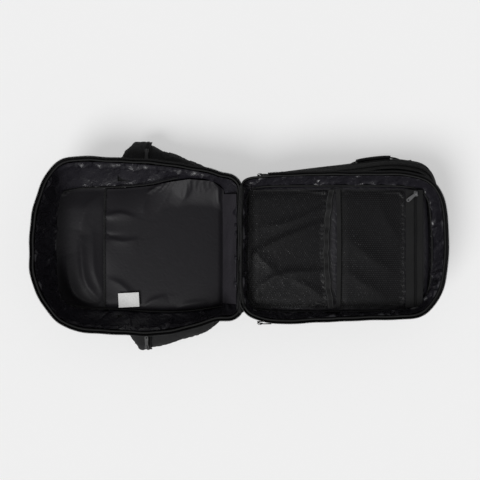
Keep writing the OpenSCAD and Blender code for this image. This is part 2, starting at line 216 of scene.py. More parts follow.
def sweep(name, path, a, b, profile, mat, closed=False):
    """A solid strip: profile points (s, t) stand at path + s a + t b all along the path. a and b are unit
    vectors, one for the whole path or one for each of its points."""
    a, b = np.broadcast_to(a, path.shape), np.broadcast_to(b, path.shape)
    prof = np.array(profile, float)
    p = path[:, None, :] + prof[None, :, :1] * a[:, None, :] + prof[None, :, 1:] * b[:, None, :]
    nu, nv = p.shape[:2]
    faces = grid_faces(nu, nv, closed_u=closed, closed_v=True)
    if not closed:
        faces.append(list(range(nv))[::-1])
        faces.append([(nu - 1) * nv + k for k in range(nv)])
    along = lengths(path)[:, None] + np.zeros((1, nv))
    ring = np.concatenate([[0], np.cumsum(np.linalg.norm(np.diff(prof, axis=0), axis=1))])[None, :] + np.zeros((nu, 1))
    uv = np.stack([along, ring], axis=-1).reshape(-1, 2)
    return sharp_edges(add_object(name, p.reshape(-1, 3), faces, mat, uv))


def circle(r, n=10):
    return [(r * math.cos(2 * math.pi * k / n), r * math.sin(2 * math.pi * k / n)) for k in range(n)]


def strap_profile(width, thick, bulge=0.0):
    """Flat webbing with soft edges, centred on the path."""
    w, t = width / 2, thick / 2
    c = min(t * 0.8, w * 0.3)
    return [(-w, -t + c), (-w + c, -t), (0, -t - bulge), (w - c, -t), (w, -t + c),
            (w, t - c), (w - c, t), (0, t + bulge), (-w + c, t), (-w, t - c)]


def tube(name, path, r, mat, closed=False, up=(0, 0, 1), n=10):
    """A round cord along a path that never runs along up."""
    t = tangents(path, closed)
    a = unit(np.cross(t, np.array(up, float)))
    b = np.cross(a, t)
    return sweep(name, path, a, b, circle(r, n), mat, closed)


def flat_strip(name, path, profile, mat):
    """A strap that lies along a path with its width level."""
    t = tangents(path)
    across = unit(np.cross(UP, t))
    return sweep(name, path, across, np.cross(t, across), profile, mat)


CUBE = np.array([(x, y, z) for x in (-0.5, 0.5) for y in (-0.5, 0.5) for z in (-0.5, 0.5)])
CUBE_FACES = [(0, 1, 3, 2), (4, 6, 7, 5), (0, 4, 5, 1), (2, 3, 7, 6), (0, 2, 6, 4), (1, 5, 7, 3)]


def resample(path, pitch):
    s = lengths(path)
    at = np.linspace(0, s[-1], max(int(s[-1] / pitch), 2))
    return np.stack([np.interp(at, s, path[:, k]) for k in range(path.shape[1])], axis=1)


def studs(name, path, a, b, size, pitch, mat):
    """A row of small blocks along a path, such as zip teeth or stitches, with a and b as for sweep."""
    q = resample(np.hstack([path, np.broadcast_to(a, path.shape), np.broadcast_to(b, path.shape)]), pitch)
    p, a, b = q[:, :3], unit(q[:, 3:6]), unit(q[:, 6:9])
    t = tangents(p)
    verts = (p[:, None, :] + CUBE[None, :, :1] * size[0] * t[:, None, :]
             + CUBE[None, :, 1:2] * size[1] * a[:, None, :] + CUBE[None, :, 2:] * size[2] * b[:, None, :])
    faces = [[8 * i + k for k in f] for i in range(len(p)) for f in CUBE_FACES]
    return add_object(name, verts.reshape(-1, 3), faces, mat, smooth=False)


# ---------------------------------------------------------------- materials


def nodes_of(name):
    mat = bpy.data.materials.new(name)
    mat.use_nodes = True
    return mat, mat.node_tree, mat.node_tree.nodes["Principled BSDF"]


def connect(tree, n, inputs):
    """Fills a node's inputs: another node's output is linked, anything else is a constant."""
    for key, value in inputs.items():
        if isinstance(value, bpy.types.NodeSocket):
            tree.links.new(value, n.inputs[key])
        else:
            n.inputs[key].default_value = value
    return n


def node(tree, kind, *slots, **values):
    """A new node. slots fill its inputs in order, values go to its settings (lower case) or inputs of that name."""
    n = tree.nodes.new(kind)
    for key in [k for k in values if k.islower()]:
        setattr(n, key, values.pop(key))
    return connect(tree, n, dict(enumerate(slots)) | values)


def in_millimetres(tree):
    coord = node(tree, "ShaderNodeTexCoord").outputs["Object"]
    return node(tree, "ShaderNodeVectorMath", coord, operation="SCALE", Scale=1000.0).outputs[0]


def uneven(tree, factor, colour, spread):
    """A colour that varies by this share to both sides of its mean."""
    low, high = [(*[min(c * k, 1) for c in colour], 1) for k in (1 - spread, 1 + spread)]
    return node(tree, "ShaderNodeMixRGB", Fac=factor, Color1=low, Color2=high).outputs["Color"]


def fabric(name, colour, rough=0.85, pitch=1.1, weave=0.35, fuzz=0.25, patches=0.25, sheen=0.15, spec=0.3,
           crease=0.0, rib=None, grain=0.4):
    """Woven cloth: crossed yarns at the given pitch in millimetres, slight dye variation and fine wrinkling.
    With rib the yarns run along one direction of the cloth only."""
    mat, tree, bsdf = nodes_of(name)
    place = in_millimetres(tree)
    yarns = place if rib is None else node(tree, "ShaderNodeTexCoord").outputs["UV"]

    def bands(axis, detail=1.0):
        return node(tree, "ShaderNodeTexWave", bands_direction=axis, Vector=yarns, Scale=math.pi / (5 * pitch),
                    Distortion=0.4, Detail=detail).outputs["Fac"]

    if rib is None:
        crossed = node(tree, "ShaderNodeMath", bands("X"), bands("Y"), operation="MULTIPLY").outputs[0]
        height = node(tree, "ShaderNodeMath", crossed, bands("Z", 2.0), operation="ADD").outputs[0]
    else:
        height = bands(rib)
    blotch = node(tree, "ShaderNodeTexNoise", Vector=place, Scale=0.03, Detail=4.0).outputs["Fac"]
    fine = node(tree, "ShaderNodeTexNoise", Vector=place, Scale=0.9, Detail=2.0).outputs["Fac"]
    dyed = uneven(tree, blotch, colour, patches)
    yarn = node(tree, "ShaderNodeMixRGB", blend_type="MULTIPLY", Fac=weave, Color1=dyed, Color2=height)
    total = node(tree, "ShaderNodeMath", fine, fuzz, height, operation="MULTIPLY_ADD").outputs[0]
    normal = node(tree, "ShaderNodeBump", Strength=grain, Distance=0.0004, Height=total).outputs["Normal"]
    if crease:
        folds = node(tree, "ShaderNodeTexNoise", Vector=place, Scale=0.09, Detail=5.0, Distortion=1.2).outputs["Fac"]
        bump = node(tree, "ShaderNodeBump", Strength=crease, Distance=0.006, Height=folds, Normal=normal)
        normal = bump.outputs["Normal"]
    connect(tree, bsdf, {"Base Color": yarn.outputs["Color"], "Normal": normal, "Roughness": rough,
                         "Specular IOR Level": spec, "Sheen Weight": sheen, "Sheen Roughness": 0.5})
    return mat


def hard(name, colour, rough, metallic=0.0, spec=0.5):
    """Moulded plastic or cast metal: slight unevenness, and roughness that varies as handled parts do."""
    mat, tree, bsdf = nodes_of(name)
    grain = node(tree, "ShaderNodeTexNoise", Vector=in_millimetres(tree), Scale=0.25, Detail=5.0).outputs["Fac"]
    worn = connect(tree, node(tree, "ShaderNodeMapRange"),
                   {"Value": grain, "To Min": max(rough - 0.15, 0.05), "To Max": min(rough + 0.15, 1.0)})
    bump = node(tree, "ShaderNodeBump", Strength=0.2, Distance=0.0002, Height=grain)
    connect(tree, bsdf, {"Base Color": uneven(tree, grain, colour, 0.2), "Roughness": worn.outputs["Result"],
                         "Normal": bump.outputs["Normal"], "Metallic": metallic, "Specular IOR Level": spec})
    return mat


def hex_mesh(name, colour, cell, hole):
    """Open warp-knit mesh: rows of round holes, each row shifted by half a cell, see-through in the holes.
    cell is the distance between holes in millimetres, hole their width as a share of it."""
    mat, tree, bsdf = nodes_of(name)
    cloth = node(tree, "ShaderNodeTexCoord").outputs["UV"]
    parts = node(tree, "ShaderNodeSeparateXYZ", cloth)

    def maths(operation, *values):
        return node(tree, "ShaderNodeMath", *values, operation=operation).outputs[0]

    rows = maths("DIVIDE", parts.outputs["Y"], cell * HEX_ROW)
    odd = maths("MODULO", maths("FLOOR", rows), 2.0)
    u = maths("ADD", maths("DIVIDE", parts.outputs["X"], cell), maths("MULTIPLY", odd, 0.5))
    fu = maths("SUBTRACT", maths("FRACT", u), 0.5)
    fv = maths("MULTIPLY", maths("SUBTRACT", maths("FRACT", rows), 0.5), HEX_ROW)
    r = maths("SQRT", maths("ADD", maths("MULTIPLY", fu, fu), maths("MULTIPLY", fv, fv)))
    tone = node(tree, "ShaderNodeTexNoise", Vector=cloth, Scale=0.05, Detail=3.0).outputs["Fac"]
    bump = node(tree, "ShaderNodeBump", Strength=0.5, Distance=0.0006, Height=maths("SUBTRACT", r, hole / 2))
    connect(tree, bsdf, {"Base Color": uneven(tree, tone, colour, 0.25), "Alpha": maths("GREATER_THAN", r, hole / 2),
                         "Normal": bump.outputs["Normal"], "Roughness": 0.45, "Specular IOR Level": 0.22})
    return mat


HEX_ROW = 0.866
# Sizes along, across and out of the surface, and the distance between two of them, in millimetres
ZIP_TOOTH, TOOTH_PITCH = (0.95, 3.0, 2.0), 1.7
COIL_LINK, COIL_PITCH = (1.0, 5.0, 1.6), 1.6
STITCH = (2.4, 0.6, 0.5)
OUTER = fabric("outer_cloth", (0.0105, 0.0105, 0.011), rough=0.7, pitch=1.3, weave=0.25, sheen=0.015, spec=0.25,
               crease=0.2)
LINING = fabric("lining_cloth", (0.0125, 0.0115, 0.0155), rough=0.32, pitch=0.6, weave=0.05, fuzz=0.1, patches=0.12,
                sheen=0.0, spec=0.62, crease=0.3, grain=0.1)
PANEL = fabric("panel_cloth", (0.0090, 0.0082, 0.0104), rough=0.5, pitch=0.7, weave=0.05, fuzz=0.15, patches=0.1,
               sheen=0.0, spec=0.22, crease=0.06, grain=0.08)
# The lining cloth again with a lighter base colour: painted light for the tilted strip at the hinge end
PAINTED_LIT_LINING = fabric("painted_lit_lining_cloth", (0.027, 0.025, 0.030), rough=0.45, pitch=0.7, weave=0.05, fuzz=0.15,
                      patches=0.15, sheen=0.0, spec=0.4, crease=0.15, grain=0.08)
BINDING = fabric("binding_tape", (0.0085, 0.0085, 0.0088), rough=0.6, pitch=1.0, rib="X", sheen=0.01, spec=0.25)
TAPE = fabric("zip_tape_cloth", (0.0085, 0.0085, 0.0088), rough=0.65, pitch=0.9, rib="Y", weave=0.3, sheen=0.01,
              spec=0.25)
COIL = hard("zip_coil", (0.012, 0.012, 0.0125), 0.42, spec=0.15)
WEBBING = fabric("webbing_cloth", (0.009, 0.009, 0.0095), rough=0.6, pitch=1.6, rib="X", weave=0.5, sheen=0.02)
PAD_MESH = fabric("spacer_mesh", (0.012, 0.012, 0.013), rough=0.85, pitch=2.6, weave=0.6, fuzz=0.1, sheen=0.02)
MESH = hex_mesh("pocket_mesh", (0.0040, 0.0040, 0.0042), cell=5.0, hole=0.64)
LABEL = fabric("label_satin", (0.80, 0.80, 0.79), rough=0.5, pitch=0.5, weave=0.03, patches=0.03, sheen=0.1)
PLASTIC = hard("black_acetal", (0.012, 0.012, 0.0125), 0.45)
BLACK_METAL = hard("black_zinc", (0.013, 0.013, 0.0135), 0.5)
GREY_METAL = hard("grey_zinc", (0.20, 0.20, 0.205), 0.42, metallic=0.8)
THREAD = fabric("thread", (0.016, 0.016, 0.0165), rough=0.6, pitch=0.4)
BOARD = hard("stiff_sheet", (0.05, 0.05, 0.055), 0.6)

# ---------------------------------------------------------------- cloth


def refine(p, closed_u=False):
    """Twice as many points along both directions, smoothly placed between the old ones."""
    for axis in (0, 1):
        q = np.moveaxis(p, axis, 0)
        if closed_u and axis == 0:
            a, b, c, d = np.roll(q, 1, 0), q, np.roll(q, -1, 0), np.roll(q, -2, 0)
            out = np.empty((2 * len(q), *q.shape[1:]))
            out[1::2] = (9 * (b + c) - a - d) / 16
        else:
            pad = np.concatenate([2 * q[:1] - q[1:2], q, 2 * q[-1:] - q[-2:-1]])
            out = np.empty((2 * len(q) - 1, *q.shape[1:]))
            out[1::2] = (9 * (pad[1:-2] + pad[2:-1]) - pad[:-3] - pad[3:]) / 16
        out[::2] = q
        p = np.moveaxis(out, 0, axis)
    return p


def crumple(p, size, scale, stretch=(1, 1, 1), seed=1.0, hold=None, closed_u=False):
    """Moves a grid of points along its normals by seeded creases. hold is 1 where a point stays."""
    n = grid_normals(p, closed_u)
    flat = p.reshape(-1, 3) * np.array(stretch)
    ridge = 1 - 2 * np.abs(fbm(flat, scale, seed, 3))
    d = (ridge * size).reshape(p.shape[:2])
    if hold is not None:
        d = d * (1 - hold)
    return p + n * d[..., None]


def relax(jobs, frames=26):
    """Lets several cloth grids buckle together. A job is (points, hold, growth, closed, lowest, highest): hold
    is 1 where the cloth is sewn down, growth is how much longer the cloth is than its frame, and the last
    two limit the travel along the normal."""
    scene = bpy.context.scene
    scene.frame_start, scene.frame_end = 1, frames
    made = []
    for k, (p, hold, growth, closed, low, high) in enumerate(jobs):
        nu, nv = p.shape[:2]
        rough = p + grid_normals(p, closed) * (fbm(p.reshape(-1, 3), 26, 3.0 + k, 2).reshape(nu, nv) * 1.6
                                               * (1 - hold))[..., None]
        obj = add_object(f"sim_{k}", rough.reshape(-1, 3), grid_faces(nu, nv, closed), LINING)
        group = obj.vertex_groups.new(name="hold")
        for i, w in enumerate(hold.ravel()):
            if w > 0:
                group.add([i], float(w), "REPLACE")
        cloth = obj.modifiers.new("cloth", "CLOTH")
        s = cloth.settings
        s.quality = 6
        s.mass = 0.2
        s.air_damping = 2.0
        s.tension_stiffness = s.compression_stiffness = 18
        s.shear_stiffness = 6
        s.bending_stiffness = 0.25
        s.vertex_group_mass = "hold"
        s.shrink_min = -growth
        s.effector_weights.gravity = 0.25
        cloth.collision_settings.use_collision = False
        cloth.point_cache.frame_start, cloth.point_cache.frame_end = 1, frames
        made.append(obj)
    for f in range(1, frames + 1):
        scene.frame_set(f)
    graph = bpy.context.evaluated_depsgraph_get()
    out = []
    for obj, (p, hold, growth, closed, low, high) in zip(made, jobs):
        mesh = obj.evaluated_get(graph).data
        co = np.zeros(len(mesh.vertices) * 3, np.float32)
        mesh.vertices.foreach_get("co", co)
        move = co.reshape(p.shape).astype(float) / MM - p
        n = grid_normals(p, closed)
        along = (move * n).sum(-1, keepdims=True)
        side = move - n * along
        reach = np.linalg.norm(side, axis=-1, keepdims=True)
        side *= np.minimum(1, 8 / np.maximum(reach, 1e-6))
        out.append(p + side + n * np.clip(along, low, high))
    scene.frame_set(1)
    for obj in made:
        mesh = obj.data
        bpy.data.objects.remove(obj)
        bpy.data.meshes.remove(mesh)
    return out


def face_up(p):
    """The same grid with its normals upwards."""
    nu, nv = p.shape[:2]
    return p if grid_normals(p)[nu // 2, nv // 2, 2] > 0 else p[:, ::-1]


def edge_hold(nu, nv, ends=True):
    """Hold weights that are 1 at the borders of a grid."""
    w = np.zeros((nu, nv))
    w[:, [0, -1]] = 1
    if ends:
        w[[0, -1], :] = 1
    return w


def ring_hold(nu, nv):
    """Hold weights of a cloth that runs round the bag: 1 along its lower and upper edge."""
    return edge_hold(nu, nv, ends=False)


def crease(x, y, start, middle, end, height, gentle=22.0, steep=8.0):
    """Height of one pulled fold along a bent line: a steep side, a long gentle side, and both ends dying away."""
    line = spline([(*start, 0), (*middle, 0), (*end, 0)], 60)[:, :2]
    away = np.hypot(x[..., None] - line[:, 0], y[..., None] - line[:, 1])
    k = away.argmin(-1)
    d = away.min(-1)
    t = tangents(line)[k]
    side = (x - line[k, 0]) * t[..., 1] - (y - line[k, 1]) * t[..., 0]
    d = np.sqrt(d**2 + 2.0) - 1.4
    shape = np.where(side > 0, np.exp(-d / gentle), np.exp(-((d / steep) ** 1.6)))
    return height * shape * np.sin(np.pi * np.clip(k / 59 * 0.94 + 0.03, 0, 1)) ** 0.8


def creased(p, folds, fade):
    """Adds pulled folds to a cloth that lies flat, fading over this distance from its sewn edges."""
    x, y = p[..., 0], p[..., 1]
    lift = sum(crease(x, y, *fold) for fold in folds)
    gap = np.minimum(np.minimum(x - x.min(), x.max() - x), np.minimum(y - y.min(), y.max() - y))
    out = p.copy()
    out[..., 2] += lift * smoothstep(gap / fade)
    return out


# ---------------------------------------------------------------- main compartment

# Stations round the rim, from the right end of the hinge line, over the far end, and back along the hinge line:
# rim x, y, z and floor x, y
TUB = [
    (-4, 133, 104, -36, 116), (-46, 160, 101, -62, 129), (-109, 175, 96, -115, 133), (-185, 185, 92, -185, 134),
    (-270, 190, 94, -265, 133), (-336, 191, 99, -325, 132), (-376, 183, 102, -366, 129), (-404, 156, 104, -390, 116),
    (-424, 108, 104, -400, 84), (-436, 50, 104, -402, 40), (-439, -15, 104, -404, -12), (-435, -58, 104, -402, -50),
    (-420, -98, 104, -400, -82), (-398, -134, 103, -388, -112), (-372, -157, 101, -364, -127),
    (-336, -170, 98, -322, -131), (-260, -177, 94, -258, -133), (-190, -180, 92, -190, -134),
    (-120, -170, 96, -122, -133), (-60, -152, 101, -64, -130), (-4, -131, 104, -36, -116),
    (-4, -70, 104, -35, -68), (-4, 0, 104, -35, 0), (-4, 70, 104, -35, 68),
]
TUB_N = 372
SIDE_SPLIT = -213.0
tub = spline(TUB, TUB_N, closed=True)
tub_rim, tub_floor = tub[:, :3], np.column_stack([tub[:, 3:], np.full(TUB_N, FLOOR_Z - 1)])
tub_along = tangents(tub_rim, closed=True)
tub_out = unit(np.cross(tub_along, UP))
if (tub_out[60] * tub_rim[60]).sum() < 0:
    tub_out = -tub_out
tub_rim = tub_rim - tub_out * (4.5 * smoothstep((-15 - tub_rim[:, :1]) / 30))


def wall_grid(rim, floor, out, nv, bulge, offset=0.0, foot=10.0, drop=0.0):
    """A wall of cloth from the floor (v = 0) to the rim (v = 1), with a rounded foot and a slight bulge."""
    v = np.linspace(0, 1, nv)
    rise = v - 0.06 * np.sin(np.pi * v)
    lean = v + 0.08 * np.sin(np.pi * v)
    p = floor[:, None, :] + (rim - floor)[:, None, :] * np.stack([lean, lean, rise], -1)[None]
    push = bulge * np.sin(np.pi * v) ** 0.8 + offset + foot * 0.4 * np.exp(-((v / 0.12) ** 2)) - foot * 0.4
    p = p + out[:, None, :] * push[None, :, None]
    p[:, :, 2] -= drop * (1 - v)[None, :]
    return p


LINING_ROWS = 22
lining_base = wall_grid(tub_rim, tub_floor, tub_out, LINING_ROWS, bulge=2.0, offset=-1.5, foot=4.0)
lining_hold = ring_hold(TUB_N, LINING_ROWS)
bunch = np.exp(-(((lining_base[..., 0] + 26) / 15) ** 2)) * (np.abs(lining_base[..., 1]) > 96)
lining_base -= tub_out[:, None, :] * (bunch * 10 * np.sin(np.pi * np.linspace(0, 1, LINING_ROWS)))[..., None]
# Under the rim the slack lining of the long sides rolls inwards in short pleats
rows = np.linspace(0, 1, LINING_ROWS)[None, :]
long_side = smoothstep((-40 - tub_rim[:, :1]) / 40) * smoothstep((tub_rim[:, :1] + 400) / 60)
roll = 7.5 * np.exp(-(((rows - 0.84) / 0.09) ** 2)) * long_side * np.where(tub_rim[:, 1:2] > 0, 1.0, 0.5)
pleat = fbm(lining_base.reshape(-1, 3) * np.array([1, 1, 0.4]), 13, 31.0, 2).reshape(TUB_N, LINING_ROWS)
lining_base -= tub_out[:, None, :] * (roll * (1 + 0.9 * pleat))[..., None]
lining_base = crumple(lining_base, 2.6, 60, (1, 1, 0.5), 4.0, lining_hold, closed_u=True)

# Floor lining: a soft rectangle with rounded far corners
fu, fv = np.meshgrid(np.linspace(-1, 1, 72), np.linspace(-1, 1, 54), indexing="ij")
floor_grid = np.stack([-221 - 183 * fu * np.sqrt(1 - 0.14 * fv**2 / 2), 134 * fv * np.sqrt(1 - 0.14 * fu**2 / 2),
                       np.full(fu.shape, FLOOR_Z)], axis=-1)[:, ::-1]
slack = smoothstep((-275 - floor_grid[..., 0]) / 30) * smoothstep((floor_grid[..., 0] + 405) / 45) * smoothstep(
    (134 - np.abs(floor_grid[..., 1])) / 50)
floor_grid[..., 2] += 6 * slack
floor_hold = edge_hold(72, 54)

# ---------------------------------------------------------------- lid

# Stations round the lid from its right corner beside the hinge line, over the far end and back along the hinge line:
# rim, tray floor, divider and front, each x, y
LID = [
    (4, 128, 13, 112, 10, 120, 10, 122), (16, 146, 26, 131, 24, 146, 24, 148), (60, 152, 62, 137, 60, 157, 60, 161),
    (130, 155, 130, 138, 134, 166, 138, 174), (220, 156, 215, 138, 222, 175, 222, 184),
    (310, 156, 300, 138, 310, 182, 310, 192), (358, 153, 345, 137, 362, 184, 362, 193),
    (396, 140, 384, 130, 404, 176, 402, 184), (418, 113, 405, 108, 423, 144, 420, 150),
    (427, 70, 412, 68, 426, 88, 422, 92), (430, 15, 415, 10, 425, 10, 421, 10),
    (428, -40, 414, -45, 423, -50, 418, -45), (420, -80, 408, -86, 416, -90, 410, -85),
    (402, -113, 393, -112, 398, -115, 392, -107),
    (378, -133, 368, -129, 372, -128, 366, -119), (338, -140, 325, -134, 330, -132, 328, -122),
    (250, -142, 245, -137, 250, -132, 250, -122), (170, -146, 170, -137, 170, -132, 170, -122),
    (90, -149, 90, -137, 90, -132, 90, -122), (40, -142, 42, -133, 40, -128, 40, -118),
    (14, -126, 20, -120, 16, -114, 16, -106), (4, -90, 12, -85, 9, -80, 9, -75), (4, 0, 12, 0, 9, 0, 9, 0),
    (4, 80, 12, 75, 9, 80, 9, 80),
]
LID_N = 352
lid = spline(LID, LID_N, closed=True)
LID_RIM_Z = HINGE_Z - 1


def level(columns, z):
    return np.column_stack([columns, np.full(len(columns), float(z))])


lid_rim = level(lid[:, :2], LID_RIM_Z)
lid_floor = level(lid[:, 2:4], PANEL_HIGH[2] - 1)
lid_divider = level(lid[:, 4:6], DIVIDER_HIGH[2])
lid_front = level(lid[:, 6:8], 3)


def outward(loop, centre):
    a = tangents(loop, closed=True)
    n = unit(np.cross(a, UP))
    return n if ((loop - centre) * n).sum() > 0 else -n


lid_out = outward(lid_rim, np.array([220, 5, LID_RIM_Z]))
TRAY_ROWS = 13
tray_base = wall_grid(lid_rim, lid_floor, lid_out, TRAY_ROWS, bulge=1.0, offset=-1.5, foot=2.0)
tray_hold = ring_hold(LID_N, TRAY_ROWS)
tray_base = crumple(tray_base, 2.6, 30, (1, 1, 0.5), 9.0, tray_hold, closed_u=True)


def pocket_face(x0, x1, half, z, bow0=0.0, bow1=0.0, rise=4.0, nx=40, ny=56):
    """Grid of a pocket's face between two edges that may bow towards -X, rising a little in the middle."""
    v = np.linspace(-1, 1, ny)
    a = x0 - bow0 * (1 - v**2)
    b = x1 - bow1 * (1 - v**2)
    t = np.linspace(0, 1, nx)
    x = a[None, :] + (b - a)[None, :] * t[:, None]
    y = np.broadcast_to(half * v[None, :], x.shape)
    edge = np.minimum(1, 6 * (1 - np.abs(v)))[None, :] * np.minimum(1, 8 * t)[:, None]
    return np.stack([x, y, z + rise * (edge**0.5) * np.ones_like(x) - rise], axis=-1)


LOWER_X = (19, 189)
UPPER_X = (212, 352)
POCKET_HALF = 126
lower_base = pocket_face(*LOWER_X, POCKET_HALF, MESH_Z + 1, bow1=10, rise=6)
lower_hold = edge_hold(40, 56)
lower_hold[-1, 1:-1] = 0.6
upper_base = pocket_face(*UPPER_X, POCKET_HALF, MESH_Z, bow0=-2, rise=4, nx=34)
upper_hold = edge_hold(34, 56)

# The outer shells: from the tray's foot to the divider, and on to the front, slumped towards the right
OUTER_ROWS, SHELL_ROWS = 12, 14
organiser_top = level(lid[:, 2:4], PANEL_LOW[2] + 3) + lid_out * 4
organiser_base = wall_grid(organiser_top, lid_divider, lid_out, OUTER_ROWS, bulge=6, foot=0)
front_base = wall_grid(lid_divider, lid_front, lid_out, OUTER_ROWS, bulge=5, foot=3)
outer_hold = ring_hold(LID_N, OUTER_ROWS)
shell_base = wall_grid(lid_rim, level(lid[:, 2:4], PANEL_LOW[2]) + lid_out * 4, lid_out, SHELL_ROWS, bulge=2.5, foot=0)

tub_shell_base = wall_grid(tub_rim, tub_floor, tub_out, LINING_ROWS, bulge=2.5, offset=2.0, foot=4.0, drop=4.0)

(lining_cloth, floor_cloth, tray_cloth, lower_cloth, upper_cloth, organiser_cloth, front_cloth, shell_cloth,
 tub_shell_cloth) = relax([
    (lining_base, lining_hold, 0.09, True, -10, 1),
    (floor_grid, floor_hold, 0.015, False, -0.5, 5),
    (tray_base, tray_hold, 0.10, True, -0.5, 7),
    (lower_base, lower_hold, 0.012, False, -3, 3),
    (upper_base, upper_hold, 0.012, False, -2, 3),
    (organiser_base, outer_hold, 0.05, True, -3, 3),
    (front_base, outer_hold, 0.05, True, -3, 3),
    (shell_base, ring_hold(LID_N, SHELL_ROWS), 0.05, True, -3, 0.5),
    (tub_shell_base, lining_hold, 0.04, True, -1, 2.5),
])
floor_cloth = creased(refine(floor_cloth), (
    ((-302, -118), (-338, -66), (-348, 30), 7, 22, 9), ((-300, -96), (-318, -44), (-322, 40), 4, 12, 7),
    ((-312, -126), (-362, -96), (-384, -14), 5, 18, 10), ((-302, 122), (-336, 92), (-352, 40), 3.5, 18, 12)), 16)
lower_cloth = creased(refine(lower_cloth), (
    ((24, -14), (92, 22), (190, 62), 6.5, 24, 7), ((44, 44), (110, 58), (192, 92), 4, 18, 7),
    ((40, -84), (90, -54), (190, -48), 6, 24, 7), ((26, -2), (52, -28), (88, -62), 3.5, 18, 9),
    ((112, -66), (150, -84), (188, -112), 3, 18, 9)), 8)
upper_cloth = creased(refine(upper_cloth), (
    ((218, 40), (256, -2), (330, -56), 4, 34, 16), ((224, -44), (262, -74), (318, -108), 3.5, 28, 14),
    ((292, 118), (312, 60), (344, 14), 2.5, 24, 14)), 10)

# ---------------------------------------------------------------- putting pieces on their bodies


def quarters(name, build, *nodes):
    """Cuts a piece that runs round the main compartment into stretches at the side walls and the hinge end: the
    hinge-end stretch rides on the root, the others stay fixed where they are.
    build(name, indices) makes one stretch from the stations it is given."""
    x, y = tub_rim[:, 0], tub_rim[:, 1]
    cut = [int(np.argmin(np.abs(x - SIDE_SPLIT) + 1e3 * other_side)) for other_side in (y < 0, y > 0)]
    far = int(np.argmin(np.abs(y) + 1e3 * (x > -300)))
    end = int(np.argmin(np.hypot(x + 4, y + 131)))
    runs = [("right_near", 0, cut[0], "side_right"), ("right_far", cut[0], far, "side_right"),
            ("left_far", far, cut[1], "side_left"), ("left_near", cut[1], end, "side_left"),
            ("hinge_end", end, TUB_N, None)]
    for tag, a, b, body in runs:
        rows = np.arange(a, b + 1) % TUB_N
        obj = build(f"{name}_{tag}", rows)
        if body is None:
            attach(obj, "root")
        else:
            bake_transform(obj)
        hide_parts(*nodes)


def put(obj, body, slot_name, *nodes):
    """Puts a piece on the body it rides on and hides the CAD nodes that it replaces. slot_name is not used."""
    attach(obj, body)
    if nodes:
        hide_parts(*nodes)
    return obj


def refined_sheet(p, mat):
    """build() for quarters(): a stretch of a cloth that runs round the compartment, with twice the points."""
    q = refine(p, closed_u=True)
    n = grid_normals(q, closed_u=True)

    def build(name, rows):
        fine = (2 * rows[0] + np.arange(2 * len(rows) - 1)) % (2 * TUB_N)
        return sheet_object(name, q[fine], mat, normals=n[fine])
    return build


def ring_part(maker, path, a, b, *details):
    """build() for quarters(): a strip or a row of studs that runs round the compartment."""
    *details, slot_name = details
    return lambda name, rows: maker(name, path[rows], a[rows], b[rows], *details)


def flare(out, degrees):
    """Unit vectors that lean outwards from the vertical by this angle, and those square to them."""
    c, s = math.cos(math.radians(degrees)), math.sin(math.radians(degrees))
    lean = out * s + UP * c
    return lean, out * c - UP * s


def sway(n, *waves):
    """A slight wave along a closed edge of n stations, from pairs of its size and its number of turns."""
    return sum(size * np.sin(np.linspace(0, 2 * np.pi * turns, n, endpoint=False)) for size, turns in waves)


# Main compartment: shell, lining, zip tape with its coil, and binding
quarters("tub_shell", refined_sheet(tub_shell_cloth, OUTER),
         "top_wall", "bottom_wall", "side_wall_right", "side_wall_left")
quarters("tub_lining", refined_sheet(lining_cloth, LINING), "top_wall", "bottom_wall")
wave = sway(TUB_N, (0.8, 23), (1.0, 9))
tub_edge = tub_rim + tub_out * (1.0 + 0.5 * wave)[:, None] + UP * (0.6 * wave)[:, None]
lean, square = flare(tub_out, 24)
TAPE_PROFILE = [(0, -0.5), (12.5, -0.5), (13, 0), (12.5, 0.5), (0, 0.5)]
tape_path = tub_edge - UP * 9 + tub_out * 1.5
quarters("tub_zip_tape", ring_part(sweep, tape_path, lean, square, TAPE_PROFILE, TAPE, "zip_tape"),
         "rim_tape_right", "rim_tape_left", "rim_tape_ends")
coil_path = tape_path + lean * 12.2 + square * 0.2
quarters("tub_zip_teeth", ring_part(studs, coil_path, lean, square, ZIP_TOOTH, TOOTH_PITCH, COIL, "zip_tape"),
         "rim_tape_right", "rim_tape_left")
quarters("tub_binding", ring_part(sweep, tub_edge, tub_out, np.broadcast_to(UP, tub_out.shape), circle(2.1, 8), BINDING,
                                  "binding"), "rim_tape_ends")

put(sheet_object("floor_cloth", floor_cloth, PANEL), "root", "lining", "floor_lining")

# Seam bindings along both long edges of the floor, rising onto the wall towards the hinge
for side, stations in (("right", [(-388, 124, 30), (-350, 132, 29), (-301, 134, 30), (-240, 137, 34), (-196, 141, 42),
                                  (-160, 148, 54), (-132, 153, 63)]),
                       ("left", [(-380, -120, 30), (-330, -130, 29), (-253, -133, 29), (-198, -137, 31),
                                 (-120, -137, 32), (-36, -126, 34)])):
    path = spline(stations, 90)
    path[:, 2] += 0.8 * np.sin(np.linspace(0, 40, 90))
    put(tube(f"floor_seam_{side}", path, 1.7, BINDING), "root", "binding", "sleeve_edges")

# ---------------------------------------------------------------- laptop sleeve


def puffed(x0, x1, y0, y1, z0, z1, corner, nx, ny, seed):
    """A quilted panel lying flat: its face swells from its edges to z1 and ripples a little."""
    u, v = np.meshgrid(np.linspace(-1, 1, nx), np.linspace(-1, 1, ny), indexing="ij")
    k = 2 * corner / min(x1 - x0, y1 - y0)
    x = (x0 + x1) / 2 + (x1 - x0) / 2 * u * np.sqrt(1 - k * v**2 / 2)
    y = (y0 + y1) / 2 + (y1 - y0) / 2 * v * np.sqrt(1 - k * u**2 / 2)
    edge = np.minimum((1 - np.abs(u)) * (x1 - x0) / 2, (1 - np.abs(v)) * (y1 - y0) / 2)
    dome = 1 - np.exp(-edge / 7)
    p = np.stack([x, y, z0 + (z1 - z0) * dome], -1)
    p[..., 2] += fbm(p.reshape(-1, 3) * np.array([1, 0.6, 0]), 90, seed, 3).reshape(nx, ny) * dome
    return p


